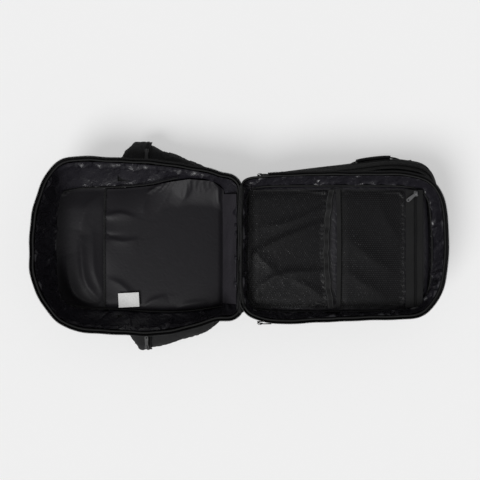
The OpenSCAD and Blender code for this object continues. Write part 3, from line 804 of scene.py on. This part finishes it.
su, sv = np.meshgrid(np.linspace(0, 1, 66), np.linspace(0, 1, 62), indexing="ij")
sleeve_x = SLEEVE_LOW[0] + (-35 - SLEEVE_LOW[0]) * su
# The face's right edge climbs the wall towards the hinge, its left edge bows outwards
stations = (SLEEVE_LOW[0], -250, -196, -150, -110, -60, -35)
y_right, z_right, y_left = [np.interp(sleeve_x[:, 0], stations, values) for values in (
    (130, 132, 137, 145, 150, 146, 128), (28, 29, 34, 48, 58, 58, 46), (-130, -132, -136, -136, -134, -131, -126))]
sleeve_y = y_left[:, None] + (y_right - y_left)[:, None] * sv
climb = ((sv - 0.8) / 0.2).clip(0, 1) ** 1.6
sleeve_z = SLEEVE_HIGH[2] + (z_right[:, None] - SLEEVE_HIGH[2]) * climb - 9 * np.exp(-sv / 0.03)
sleeve_z += 4 * np.sin(np.pi * su) ** 0.5 * np.sin(np.pi * sv) ** 0.5
sleeve_z -= 3 * smoothstep((su - 0.95) / 0.05)
near = np.exp(-((sleeve_x - SLEEVE_LOW[0]) / 30) ** 2)
sleeve_z += near * (2.0 * np.cos(sleeve_y / 26) + 2.4 * np.exp(-((sleeve_y - 72) / 8) ** 2)
                    - 2.6 * np.exp(-((sleeve_y - 28) / 6) ** 2))
sleeve_base = np.stack([sleeve_x, sleeve_y, sleeve_z], -1)
sleeve_grid = creased(refine(relax([(sleeve_base, edge_hold(66, 62), 0.008, False, -1, 3)], 20)[0]), (
    ((-186, 136), (-206, 112), (-214, 78), 1.8, 14, 5), ((-150, 142), (-162, 112), (-186, 80), 1.6, 14, 6),
    ((-112, 150), (-118, 120), (-140, 92), 1.5, 14, 7), ((-214, -132), (-190, -114), (-158, -104), 3, 18, 5),
    ((-140, -134), (-112, -122), (-70, -116), 2.6, 16, 5), ((-292, 72), (-262, 77), (-228, 68), 2.6, 14, 4),
    ((-292, 24), (-258, 16), (-222, 20), 2.6, 14, 4), ((-290, -66), (-262, -78), (-232, -104), 2.4, 18, 6)), 5)
put(sheet_object("sleeve_face", sleeve_grid, PANEL), "root", "lining", "laptop_sleeve")
mouth_path = resample(sleeve_grid[1], 4) + np.array([-1.0, 0, 1.0])
put(sweep("sleeve_mouth_binding", mouth_path, ALONG_X, UP, strap_profile(3.2, 2.6), BINDING), "root", "binding",
    "sleeve_binding")
for k, dx in enumerate((-1.6, 1.9)):
    row = mouth_path + np.array([dx, 0, 1.75])
    put(studs(f"sleeve_mouth_stitch_{k}", row, ALONG_X, UP, (2.2, 0.6, 0.4), 3.2, THREAD), "root", "binding")

lu, lv = np.meshgrid(np.linspace(-22.5, 22.5, 46), np.linspace(-15.5, 15.5, 32), indexing="ij")
turn = math.radians(3)
centre = middle("care_label") + np.array([1.0, -3.5, 0])
label_grid = np.stack([centre[0] + lu * math.cos(turn) - lv * math.sin(turn),
                       centre[1] + lu * math.sin(turn) + lv * math.cos(turn),
                       SLEEVE_HIGH[2] + 7.5 + 0.5 * np.sin(lu / 7) * np.cos(lv / 9)], -1)
label = sheet_object("blank_label", label_grid, LABEL)
put(label, "root", "label", "care_label")

# The strip of plain lining between the laptop panel and the hinge, in a copy of the lining painted lighter to stand in
# for the light this tilted strip catches
eu, ev = np.meshgrid(np.linspace(0, 1, 24), np.linspace(-1, 1, 80), indexing="ij")
strip_z = 36 + 64 * eu**1.02 + 2.5 * np.sin(ev * 9) * np.sin(np.pi * eu)
strip_grid = face_up(crumple(np.stack([-37 + 30 * eu, (119 - 3 * eu) * ev, strip_z], -1), 1.0, 50, (1, 0.5, 1), 21.0))
put(sheet_object("hinge_end_lining", strip_grid, PAINTED_LIT_LINING), "root", "lining", "bottom_wall")

# ---------------------------------------------------------------- hinge strip between both halves

hinge_v = np.linspace(-1, 1, 90)
hinge_u = np.linspace(0, 1, 20)
hx = -6.5 + 14 * hinge_u[:, None] + 0 * hinge_v[None]
hz = 99.5 + 5.0 * np.sin(np.pi * hinge_u)[:, None] * (1 + 0.1 * np.cos(hinge_v * 19))[None] - 6 * (
    np.abs(hinge_u - 0.5)[:, None] * 2) ** 2
hinge_grid = np.stack([hx, 134 * hinge_v[None] + 0 * hx, hz], -1)
hinge_grid = crumple(hinge_grid, 1.3, 34, (0.5, 1, 1), 12.0, ring_hold(20, 90))
hinge_obj = slab_object("hinge_strip", hinge_grid, OUTER, 1.5)
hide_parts("hinge_binding")
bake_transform(hinge_obj)

# ---------------------------------------------------------------- lid


def lid_ring(name, p, mat, slot_name, *nodes):
    """A cloth all the way round the lid."""
    put(sheet_object(name, refine(p, closed_u=True), mat, closed_u=True), "lid", slot_name, *nodes)


lid_ring("lid_lining", tray_cloth, LINING, "lining", "lid_gusset")
lid_ring("lid_shell", shell_cloth, OUTER, "outer_fabric", "lid_gusset")
lid_ring("organiser_shell", organiser_cloth, OUTER, "outer_fabric", "organiser_gusset")
lid_ring("front_shell", front_cloth, OUTER, "outer_fabric", "front_gusset")
lid_wave = sway(LID_N, (0.7, 19), (0.9, 8))
lid_edge = lid_rim + lid_out * (1.0 + 0.4 * lid_wave)[:, None] + UP * (0.5 * lid_wave)[:, None]


def lid_cord(name, path, r, n, *nodes):
    """A round cord all the way round the lid."""
    put(sweep(name, path, lid_out, UP, circle(r, n), BINDING, closed=True), "lid", "binding", *nodes)


lid_cord("lid_binding", lid_edge, 2.1, 8)
lid_lean, lid_square = flare(lid_out, 22)
open_run = np.arange(18, 320)
lid_tape = lid_edge - UP * 9 + lid_out * 1.5
put(sweep("lid_zip_tape", lid_tape[open_run], lid_lean[open_run], lid_square[open_run], TAPE_PROFILE, TAPE),
    "lid", "zip_tape", "lid_rim_tape")
lid_coil = lid_tape + lid_lean * 12.2
put(studs("lid_zip_teeth", lid_coil[open_run], lid_lean[open_run], lid_square[open_run], ZIP_TOOTH, TOOTH_PITCH, COIL),
    "lid", "zip_tape")
lid_cord("lid_piping_roll", level(lid[:, 2:4], PANEL_HIGH[2] + 1.5) - lid_out * 2.5, 2.2, 10, "lid_piping")

panel_grid = face_up(puffed(10, 406, -138, 138, PANEL_LOW[2], PANEL_HIGH[2] + 0.5, 24, 130, 96, 8.0))
put(sheet_object("lid_panel_face", panel_grid, LINING), "lid", "lining", "lid_panel")

for name, cloth in (("lower_mesh", lower_cloth), ("upper_mesh", upper_cloth)):
    put(sheet_object(name, cloth, MESH), "lid", "mesh", f"{name}_pocket")

# Slack elastic hem at the lower pocket's mouth, and the binding of the upper pocket
hem_y = np.linspace(POCKET_HALF, -POCKET_HALF, 120)
bow = 11 * (1 - (hem_y / POCKET_HALF) ** 2)
hem = np.column_stack([LOWER_X[1] + 6 - bow + 0.8 * np.sin(hem_y / 6), hem_y,
                       MESH_Z + 2.5 + 1.4 * np.sin(hem_y / 11) + 0.8 * np.sin(hem_y / 4.1)])
across = unit(np.cross(UP, tangents(hem)))
put(flat_strip("lower_hem", hem, strap_profile(13, 2.4, 0.4), BINDING), "lid", "binding", "lower_pocket_hem")
for k, d in enumerate((-4.6, 4.6)):
    ridge = hem + across * d + UP * 1.5
    put(sweep(f"lower_hem_ridge_{k}", ridge, across, UP, circle(0.9, 6), THREAD), "lid", "binding")

edge_y = np.linspace(POCKET_HALF, -POCKET_HALF, 90)
bind = np.column_stack([UPPER_X[0] - 2 + 2 * (1 - (edge_y / POCKET_HALF) ** 2), edge_y,
                        MESH_Z + 0.5 + 0.6 * np.sin(edge_y / 9)])
put(flat_strip("upper_mesh_binding", bind, strap_profile(10, 2.0, 0.3), BINDING), "lid", "binding")

zy = np.linspace(POCKET_HALF, -POCKET_HALF, 100)
for k, (cx, w) in enumerate(((363.2, 18.4), (384.2, 14.0))):
    line = np.column_stack([np.full(100, cx), zy, MESH_Z - 0.4 + 0.5 * np.sin(zy / 17 + k)])
    put(flat_strip(f"upper_zip_tape_{k}", line, strap_profile(w, 1.4), TAPE), "lid", "zip_tape", "upper_pocket_zip")
coil_line = np.column_stack([np.full(100, 375.0), zy, MESH_Z + 0.9 + 0.5 * np.sin(zy / 17)])
put(studs("upper_zip_coil", coil_line, ALONG_X, UP, COIL_LINK, COIL_PITCH, COIL), "lid", "zip_tape")

# ---------------------------------------------------------------- outer compartments

for name, loop, z, mat, slot_name, replaced in (
        ("organiser_floor", lid[:, 4:6], [DIVIDER_HIGH[2] + 0.4] * 7, LINING, "lining", "organiser_divider"),
        ("front_face", lid[:, 6:8], [1.5] + [0.3] * 6, OUTER, "outer_fabric", "front_panel")):
    mid = loop.mean(0)
    disc = np.stack([level(mid + (loop - mid) * share, h)
                     for share, h in zip((1.0, 0.985, 0.9, 0.75, 0.5, 0.25, 0.001), z)], axis=1)
    put(sheet_object(name, disc, mat, closed_u=True), "lid", slot_name, replaced)


def band_on(name, low_cols, high_cols, z_low, z_high, z0, z1, off, gap, nodes, run):
    """Zip tape with its coil lying on a slumped outer wall."""
    t0, t1 = [(z - z_low) / (z_high - z_low) for z in (z0, z1)]
    middle_x = low_cols[:, :1] * 0.5 + high_cols[:, :1] * 0.5
    gape = off + gap * np.exp(-(((middle_x - 320) / 62) ** 2)) * (low_cols[:, 1:] > 100)
    a = level(low_cols + (high_cols - low_cols) * t0, z0) + lid_out * gape
    b = level(low_cols + (high_cols - low_cols) * t1, z1) + lid_out * gape
    up = unit(b - a)[run]
    mid = ((a + b) / 2)[run]
    side = unit(np.cross(tangents(mid), up))
    side = side if (side * lid_out[run]).sum() > 0 else -side
    height = float(np.linalg.norm(b - a, axis=1).mean())
    put(sweep(name, mid, up, side, strap_profile(height + 13, 1.4), TAPE), "lid", "zip_tape", *nodes)
    put(studs(f"{name}_coil", mid + side * 1.2, up, side, COIL_LINK, COIL_PITCH, COIL), "lid", "zip_tape")
    return mid, side


zip_run = np.arange(14, 322)
band_on("organiser_zip_band", lid[:, 4:6], lid[:, 2:4] + lid_out[:, :2] * 4, DIVIDER_HIGH[2], PANEL_LOW[2] + 3, 37, 47,
        5.5, 6.0, ("organiser_zip",), zip_run)
band_on("front_zip_band", lid[:, 6:8], lid[:, 4:6], 3, DIVIDER_HIGH[2], 18, 28, 3.5, 4.0, ("front_zip",), zip_run)
lid_cord("outer_seam_piping", level(lid[:, 4:6], DIVIDER_LOW[2]) + lid_out * 2.5, 2.4, 10)
lid_cord("tray_seam_piping", level(lid[:, 2:4], PANEL_LOW[2] + 2) + lid_out * 5, 2.2, 10)
lid_cord("front_seam_piping", lid_front - lid_out * 0.5, 1.9, 10)

# ---------------------------------------------------------------- zip sliders and pullers


def placed(points, centre, along, out):
    """Points (along, across, out) in a slider's own axes, moved to its place."""
    a = unit(np.array(along, float))
    o = unit(np.array(out, float) - a * np.dot(a, out))
    c = np.cross(o, a)
    p = np.asarray(points, float)
    return np.array(centre) + p[:, :1] * a + p[:, 1:2] * c + p[:, 2:] * o


def prism(outline, z0, z1, chamfer=0.4):
    """Closed solid over an outline with chamfered edges: verts and faces."""
    q = np.array(outline, float)
    mid = q.mean(0)
    small = mid + (q - mid) * (1 - chamfer / np.abs(q - mid).max())
    n = len(q)
    rings = [(small, z0), (q, z0 + chamfer), (q, z1 - chamfer), (small, z1)]
    verts = np.vstack([np.column_stack([r, np.full(n, z)]) for r, z in rings])
    faces = [list(range(n))[::-1], [3 * n + k for k in range(n)]]
    for r in range(3):
        faces += [[r * n + k, r * n + (k + 1) % n, (r + 1) * n + (k + 1) % n, (r + 1) * n + k] for k in range(n)]
    return verts, faces


def ring_plate(length, width, hole_at, hole_r, z0, z1):
    """Flat rounded plate along +X with a round hole near its tip: verts and faces."""
    n, tip = 40, width * 0.5
    angles = np.linspace(0, 2 * np.pi, n, endpoint=False)
    hole = np.column_stack([hole_at + hole_r * np.cos(angles), hole_r * np.sin(angles)])
    outer = []
    for a in angles:
        dx, dy = math.cos(a), math.sin(a)
        r = 0.0
        while True:
            r += 0.1
            x, y = hole_at + r * dx, r * dy
            half = width / 2 * (0.72 + 0.28 * min(x / (0.55 * length), 1))
            over = max(x - (length - tip), 0) / tip
            if x < 0 or abs(y) > half * math.sqrt(max(1 - over**2, 0)) or over >= 1:
                break
        outer.append((x, y))
    outer = np.array(outer)
    verts, faces = [], []
    for loop, z in ((hole, z0), (outer * 0.995, z0), (outer, z0 + 0.3), (outer, z1 - 0.3), (outer * 0.995, z1),
                    (hole, z1)):
        verts.append(np.column_stack([loop, np.full(n, z)]))
    for r in range(6):
        for k in range(n):
            a, b = r * n + k, r * n + (k + 1) % n
            c, d = ((r + 1) % 6) * n + (k + 1) % n, ((r + 1) % 6) * n + k
            faces.append([a, b, c, d])
    return np.vstack(verts), faces


SLIDER_PLATE = [(-6, -3.2), (-4.5, -4.6), (0, -4.3), (4.5, -3.6), (6, -2.2), (6, 2.2), (4.5, 3.6), (0, 4.3),
                (-4.5, 4.6), (-6, 3.2)]
BRIDGE_N = 16
BRIDGE = [(-4.6, 0.4), (-4.0, 2.2), (-2.0, 3.3), (1.5, 3.3), (3.6, 2.4), (4.4, 0.4)]


def slider(cad, centre, along, out, mat, slot_name):
    """Two plates, the wedge between them and the bridge that carries the puller."""
    parts = [prism(SLIDER_PLATE, -2.1, -0.9, 0.35), prism(SLIDER_PLATE, 0.9, 2.1, 0.35),
             prism([(-5, -1.2), (-1, -0.9), (-1, 0.9), (-5, 1.2)], -1.0, 1.0, 0.2)]
    bridge = spline([(a, b, 0) for a, b in BRIDGE], BRIDGE_N)[:, :2]
    arch = np.array([(x, 0, 2.1 + (z - 0.4) * 0.9) for x, z in bridge])
    across = np.array([0, 1.0, 0])
    high = np.cross(across, tangents(arch))
    strip = np.vstack([arch[i] + a * across + b * high[i] for i in range(BRIDGE_N)
                       for a, b in ((-1.5, -0.5), (1.5, -0.5), (1.5, 0.5), (-1.5, 0.5))])
    last = 4 * BRIDGE_N
    ends = [[0, 1, 2, 3], [last - 1, last - 2, last - 3, last - 4]]
    parts.append((strip, grid_faces(BRIDGE_N, 4, closed_v=True) + ends))
    verts, faces = [], []
    for v, f in parts:
        k = sum(len(q) for q in verts)
        faces += [[i + k for i in face] for face in f]
        verts.append(v)
    obj = add_object(f"{cad}_body", placed(np.vstack(verts), centre, along, out), faces, mat)
    put(sharp_edges(obj, 30), cad, slot_name, cad)


def puller(cad, bail, along, out, mat, slot_name):
    """A plate with a waisted neck, a raised rim, a cord hole near its tip and the ring that hangs it on the slider."""
    length, thick = 22.5, 1.5
    verts, faces = ring_plate(length, 7.4, length - 4.2, 1.7, -thick / 2, thick / 2)
    obj = add_object(f"{cad}_plate", placed(verts + np.array([1.8, 0, 0]), bail, along, out), faces, mat)
    put(sharp_edges(obj, 30), cad, slot_name, cad)
    up = tuple(unit(np.array(out, float)))
    loop = [(2.2 + 2.0 * math.cos(k), 2.5 * math.sin(k), 0.0) for k in np.linspace(0, 2 * np.pi, 24)[:-1]]
    put(tube(f"{cad}_plate_ring", placed(loop, bail, along, out), 0.75, mat, closed=True, up=up, n=8), cad, slot_name)
    rim = placed([(x, y, thick / 2) for x, y in
                  ((6, -1.2), (length - 9, -1.6), (length - 9, 1.6), (6, 1.2), (6, -1.2))], bail, along, out)
    put(tube(f"{cad}_plate_inset", rim, 0.3, mat, up=up, n=6), cad, slot_name)


slider("upper_pocket_slider", middle("upper_pocket_slider") + [0, 0, -0.4], (0, 1, 0), UP, GREY_METAL, "metal")
puller("upper_pocket_puller", (374.0, 117.0, middle("upper_pocket_puller")[2]), (-0.766, -0.643, 0), UP, GREY_METAL,
       "metal")
for cad, out in (("main_{}_right", 1), ("main_{}_left", -1), ("organiser_{}", -1), ("front_{}", -1)):
    c, p = middle(cad.format("slider")), middle(cad.format("puller"))
    slider(cad.format("slider"), c, ALONG_X, (0, out, 0), BLACK_METAL, "slider_black")
    puller(cad.format("puller"), (c[0], p[1], p[2]), ALONG_X, (0, out, 0), BLACK_METAL, "slider_black")

# ---------------------------------------------------------------- side pockets

POCKET_TOP_Z, POCKET_LOW_Z = box_mm("side_pocket_right")[1][2], box_mm("side_pocket_right")[0][2]
FIN = {"right": [(-266, 186), (-254, 207), (-241, 221), (-229, 230), (-215, 231), (-202, 231), (-190, 225), (-164, 213),
                 (-137, 205), (-112, 195), (-86, 186), (-64, 174), (-46, 158)],
       "left": [(-266, 176), (-254, 182), (-241, 189), (-229, 203), (-216, 218), (-202, 218), (-190, 214), (-164, 210),
                (-137, 202), (-112, 194), (-86, 187), (-64, 176), (-46, 156)]}
FIN_N, FIN_M = 84, 26


def shell_at(x, z, sign):
    """Point of the finished outer shell at x and height z on one side."""
    ok = tub_shell_points[(np.sign(tub_shell_points[:, 1]) == sign)]
    d = np.abs(ok[:, 0] - x) + 1.5 * np.abs(ok[:, 2] - z)
    return ok[np.argmin(d)]


tub_shell_points = tub_shell_cloth.reshape(-1, 3)
fin_jobs = []
for side, sign in SIDES:
    edge = spline([(x, y, 0) for x, y in FIN[side]], FIN_N)[:, :2]
    grid = np.zeros((FIN_N, FIN_M, 3))
    for i, (x, reach) in enumerate(edge):
        top = shell_at(x, POCKET_TOP_Z + 3, sign)
        low = shell_at(x, POCKET_LOW_Z, sign)
        fat = math.sin(math.pi * min(max((x + 266) / 220, 0), 1)) ** 0.45
        top_y, low_y = abs(top[1]) - 1.5, abs(low[1]) - 1.5
        reach = max(reach, top_y + 0.5)
        outline = spline([(top_y, 73 - 2 * (1 - fat), 0), ((top_y + reach) / 2, 70.5 - 3 * fat, 0), (reach - 3, 63, 0),
                          (reach, 57, 0), (reach - 3, 49 - 4 * fat + 2, 0), ((low_y + reach) / 2, 36, 0),
                          (low_y, 30, 0)], FIN_M)
        centre_z = 53
        grid[i] = np.column_stack([np.full(FIN_M, x), sign * outline[:, 0],
                                   centre_z + (outline[:, 1] - centre_z) * (0.35 + 0.65 * fat)])
    fin_jobs.append((grid[::sign], edge_hold(FIN_N, FIN_M), 0.05, False, -5, 5))
for (side, sign), cloth in zip(SIDES, relax(fin_jobs, 22)):
    fin = refine(cloth)
    body = f"side_{side}"
    put(sheet_object(f"side_pocket_{side}_cloth", fin, OUTER), body, "outer_fabric", f"side_pocket_{side}")
    put(tube(f"side_pocket_{side}_piping", fin[:, 21] + np.array([0, sign * 0.8, 0]), 1.9, BINDING), body, "binding")
    # zip across the pocket's upper face, from the wall outwards
    station = int(np.argmin(np.abs(fin[:, 20, 0] + 200)))
    across = resample(fin[station, 1:20], 2.0)
    square = unit(np.cross(ALONG_X, tangents(across)) * -sign)
    square = square if square[0, 2] > 0 else -square
    line = across + square * 1.6
    put(sweep(f"side_zip_{side}_tape", line, ALONG_X, square, strap_profile(17, 1.3), TAPE), body, "zip_tape",
        f"side_zip_{side}")
    put(studs(f"side_zip_{side}_coil", line + square * 1.1, ALONG_X, square, COIL_LINK, COIL_PITCH, COIL), body,
        "zip_tape")
    c = middle(f"side_slider_{side}")
    down, out = unit(np.array([0, -sign * 0.9741, 0.2259])), (0, sign * 0.2259, 0.9741)
    slider(f"side_slider_{side}", c, down, out, BLACK_METAL, "slider_black")
    puller(f"side_puller_{side}", c + np.array([0, sign * 0.8, 3.9]), down, out, BLACK_METAL, "slider_black")

# ---------------------------------------------------------------- handles


def handle(cad, stations, grip=5.0):
    """A webbing loop with a padded grip and its stitching."""
    path = spline(stations, 60)
    out = unit(np.cross(tangents(path), UP))
    put(sweep(f"{cad}_loop", path, UP, out, strap_profile(12.5, 2.6, 0.3), WEBBING), cad, "webbing", cad)
    path, out = path[14:46], out[14:46]
    put(sweep(f"{cad}_loop_grip", path, UP, out, strap_profile(13.5, grip, 0.8), OUTER), cad, "webbing")
    for k, h in enumerate((-5.2, 5.2)):
        for m, o in enumerate((grip / 2 + 0.4, -grip / 2 - 0.4)):
            row = path + UP * h + out * o
            put(studs(f"{cad}_loop_stitch_{k}{m}", row, UP, out, STITCH, 3.6, THREAD), cad, "webbing")


def block(name, outline, z0, z1, chamfer, mat, degrees, body, slot_name, *nodes):
    """A flat piece over an outline, lying level."""
    verts, faces = prism(outline, z0, z1, chamfer)
    put(sharp_edges(add_object(name, verts, faces, mat), degrees), body, slot_name, *nodes)


handle("top_handle", [(-421, -59, 10), (-428, -52, 10), (-436, -38, 10), (-440, 0, 10), (-436, 38, 10), (-428, 52, 10),
                      (-421, 59, 10)])
for side, sign in SIDES:
    outline = [(-421.5, 51), (-418.5, 48), (-396, 48), (-396, 70), (-418.5, 70), (-421.5, 67)]
    block(f"top_handle_tab_{side}", [(x, sign * y) for x, y in outline][::sign], 4, 16.5, 1.6, OUTER, 50, "root",
          "outer_fabric", "top_handle_tabs")
    for k, z in enumerate((3.8, 16.7)):
        for m, (y0, y1) in enumerate(((51, 67), (67, 51))):
            put(studs(f"top_tab_stitch_{side}_{k}{m}", spline([(-419, sign * y0, z), (-399, sign * y1, z)], 12),
                      np.array([0, 1.0, 0]), UP, (2.2, 0.7, 0.4), 3.2, THREAD), "root", "webbing")

pivot = next(j for j in frame["joints"] if j["name"] == "side_handle_swing")
edge_x, origin = np.array(pivot["axis"]), np.array(pivot["pos_m"]) / MM
edge_y = np.cross(UP, edge_x)
stations = ((-68, -4), (-58, 1), (-46, 6.5), (-28, 10), (0, 11), (28, 10), (46, 6.5), (58, 1), (68, -4))
handle("side_handle", [origin + edge_x * a + edge_y * b for a, b in stations], grip=7.0)
for k, dx in enumerate((-70, 70)):
    verts, faces = prism([(-12, -2.5), (12, -2.5), (12, 2.5), (-12, 2.5)], -9, 9, 1.2)
    verts = origin + (verts[:, :1] + dx) * edge_x + (verts[:, 1:2] - 4.5) * edge_y + verts[:, 2:] * UP
    put(sharp_edges(add_object(f"side_handle_patch_{k}", verts, faces, OUTER), 50), "lid", "outer_fabric")

# ---------------------------------------------------------------- back, straps and pads


def cushion(name, outline, z_seam, z_face, cad, grooves):
    """A foam pad under its seam line: rings from the outline to the middle, swelling down to z_face."""
    loop = spline([(x, y, z_seam) for x, y in outline], 180, closed=True)
    mid = loop.mean(0)
    share = np.concatenate([[1.0, 1.0, 0.995, 0.985, 0.965, 0.94, 0.9], np.linspace(0.84, 0.001, 14)])
    drop = np.concatenate([[0.0, 0.25, 0.5, 0.68, 0.84, 0.93, 0.97], np.full(14, 1.0)])
    rings = []
    for a, d in zip(share, drop):
        r = mid + (loop - mid) * a
        r[:, 2] = z_seam + (z_face - z_seam) * d
        for g in grooves if d > 0.9 else ():
            r[:, 2] -= (z_face - z_seam) * 0.35 * np.exp(-(((r[:, 0] - g) / 3.5) ** 2)) * (d - 0.9) * 10
        rings.append(r)
    obj = sheet_object(name, np.stack(rings, axis=1), PAD_MESH, closed_u=True)
    put(obj, "root", "back_mesh", cad)
    put(tube(f"{name}_piping", loop, 1.6, BINDING, closed=True), "root", "binding")


STRAP_N, STRAP_RING = 40, 28
back_points = [(-404, -60), (-400, -95), (-378, -122), (-340, -131), (-200, -131), (-60, -131), (-43, -124), (-41, 0),
               (-43, 124), (-60, 131), (-200, 131), (-340, 131), (-378, 122), (-400, 95), (-404, 60), (-405, 0)]
loop = spline([(x, y, BACK_Z) for x, y in back_points], 300, closed=True)
mid = loop.mean(0)
disc = np.stack([mid + (loop - mid) * s for s in (1, 0.99, 0.9, 0.75, 0.55, 0.35, 0.15, 0.001)], axis=1)
disc[..., 2] += 0.8 * np.sin(disc[..., 0] / 31) * np.cos(disc[..., 1] / 27)
put(sheet_object("back_cloth", disc, OUTER, closed_u=True), "root", "outer_fabric", "back_panel")
put(tube("back_edge_piping", loop + UP * 0.5, 2.6, BINDING, closed=True), "root", "binding", "back_piping")
for side, sign in SIDES:
    pad = [(-376, 40), (-372, 98), (-350, 119), (-220, 121), (-90, 120), (-70, 104), (-67, 66), (-70, 24), (-90, 14),
           (-220, 14), (-350, 15), (-371, 22)]
    cushion(f"back_pad_{side}_foam", [(x, sign * y) for x, y in pad], BACK_Z, BACK_Z - 9.5, f"back_pad_{side}",
            (-300, -222, -145))
    k = np.linspace(0, 1, STRAP_N)
    path = np.column_stack([-391 + 262 * k, sign * (50 + 46 * (3 * k**2 - 2 * k**3)), np.full(STRAP_N, 5.0)])
    path = np.vstack([path[:1] + [[-1.5, 0, 0]], path, path[-1:] + [[1.2, 0, 0]]])
    width = np.concatenate([[50], 62 + (44 - 62) * k, [34]])
    across = unit(np.cross(UP, tangents(path)))
    ring = np.linspace(0, 2 * np.pi, STRAP_RING, endpoint=False)
    cs, sn = np.cos(ring), np.sin(ring)
    px = np.sign(cs) * np.abs(cs) ** 0.55
    pz = np.sign(sn) * np.abs(sn) ** 0.8
    thick = np.full(len(path), 4.9)
    thick[0] = thick[-1] = 3.0
    grid = path[:, None, :] + across[:, None, :] * (px[None, :] * width[:, None] / 2)[..., None] + UP * (
        pz[None, :] * thick[:, None])[..., None]
    grid[..., 2] = np.maximum(grid[..., 2], 0.2)
    corners = range(STRAP_RING)
    faces = grid_faces(len(path), STRAP_RING, closed_v=True)
    faces += [list(corners)[::-1], [(len(path) - 1) * STRAP_RING + q for q in corners]]
    obj = add_object(f"strap_{side}_foam", grid.reshape(-1, 3), faces, PAD_MESH)
    put(sharp_edges(obj, 60), f"strap_{side}", "back_mesh", f"strap_{side}")
    for m, e in enumerate((-1, 1)):
        edge = path + across * (e * width / 2)[:, None]
        put(tube(f"strap_{side}_piping_{m}", edge[1:-1], 1.5, BINDING), f"strap_{side}", "binding")
    put(sweep(f"strap_{side}_webbing", path[4:-1] - UP * 4.6, across[4:-1], UP, strap_profile(24, 1.2), WEBBING),
        f"strap_{side}", "webbing")

    # ladder lock: a frame with two bars
    low, high = box_mm(f"ladder_lock_{side}")
    cy = sign * 96
    bars = ((low[0], high[0], -17, -13), (low[0], high[0], 13, 17), (low[0], low[0] + 3.6, -13, 13),
            (low[0] + 7.5, low[0] + 12, -13, 13), (high[0] - 7, high[0], -13, 13))
    for n, (x0, x1, y0, y1) in enumerate(bars):
        block(f"ladder_lock_{side}_{n}", [(x0, cy + y0), (x1, cy + y0), (x1, cy + y1), (x0, cy + y1)], 2.5, 6.5, 0.9,
              PLASTIC, 25, f"ladder_lock_{side}", "plastic", f"ladder_lock_{side}")
    # webbing from the lock to the wing at the bag's foot
    web = spline([(x, cy + sign * y, z)
                  for x, y, z in ((-103, 0, 3.4), (-92, 3, 3.2), (-78, 8, 3.2), (-60, 12, 4.5))], 40)
    put(flat_strip(f"webbing_tail_{side}", web, strap_profile(25, 1.5), WEBBING), "root", "webbing", "strap_webbing")
    wing = [(-64, sign * 92), (-46, sign * 88), (-44, sign * 129), (-64, sign * 124)]
    block(f"strap_wing_{side}", wing[::sign], 0.6, 16, 2.0, OUTER, 50, "root", "outer_fabric", "strap_wings")

block("strap_yoke_cloth", [(-398, -84), (-390, -84), (-390, 84), (-398, 84)], 0.3, 18.6, 1.8, OUTER, 50, "root",
      "outer_fabric", "strap_yoke")
for k, z in enumerate((4, 15)):
    put(studs(f"yoke_stitch_{k}", spline([(-398.3, -80, z), (-398.3, 80, z)], 30), UP, -ALONG_X, STITCH, 3.8, THREAD),
        "root", "webbing")

# The stiff sheet in the back keeps its CAD shape
stiff = frame["nodes"]["frame_sheet"]
stiff.data.materials.clear()
stiff.data.materials.append(BOARD)

# ---------------------------------------------------------------- floor, light and camera

floor_mat = fabric("studio_floor", (0.50, 0.50, 0.50), rough=0.9, pitch=2.0, weave=0.01, fuzz=0.0, patches=0.004,
                   sheen=0, spec=0.1)
connect(floor_mat.node_tree, floor_mat.node_tree.nodes["Principled BSDF"],
        {"Emission Color": (1, 1, 1, 1), "Emission Strength": 0.46})
GROUND_HALF = 90000
corners = [(x * GROUND_HALF, y * GROUND_HALF, -0.5) for x, y in ((-1, -1), (1, -1), (1, 1), (-1, 1))]
add_object("ground", corners, [(0, 1, 2, 3)], floor_mat)

sun = bpy.data.lights.new("sun", "SUN")
sun.energy, sun.angle = 2.3, math.radians(32)
sun_obj = bpy.data.objects.new("sun", sun)
bpy.context.scene.collection.objects.link(sun_obj)
sun_obj.rotation_euler = Vector((1.0, 1.3, -1.75)).to_track_quat("-Z", "Y").to_euler()

# The world lights the bag softly, and looks as bright as the floor where the camera sees it
world = bpy.data.worlds.new("studio")
world.use_nodes = True
tree = world.node_tree
glow = connect(tree, tree.nodes["Background"], {"Color": (1, 1, 1, 1), "Strength": 0.3})
backdrop = node(tree, "ShaderNodeBackground", Color=(1, 1, 1, 1), Strength=0.86)
seen = node(tree, "ShaderNodeLightPath").outputs["Is Camera Ray"]
choice = node(tree, "ShaderNodeMixShader", seen, glow.outputs[0], backdrop.outputs[0])
connect(tree, tree.nodes["World Output"], {"Surface": choice.outputs[0]})
bpy.context.scene.world = world

camera = bpy.data.cameras.new("view")
camera.lens_unit = "FOV"
camera.angle = math.radians(33.1)
camera_obj = bpy.data.objects.new("view", camera)
bpy.context.scene.collection.objects.link(camera_obj)
camera_obj.location = (0, 0.019, 1.8)
bpy.context.scene.camera = camera_obj
bpy.context.scene.view_settings.view_transform = "Standard"
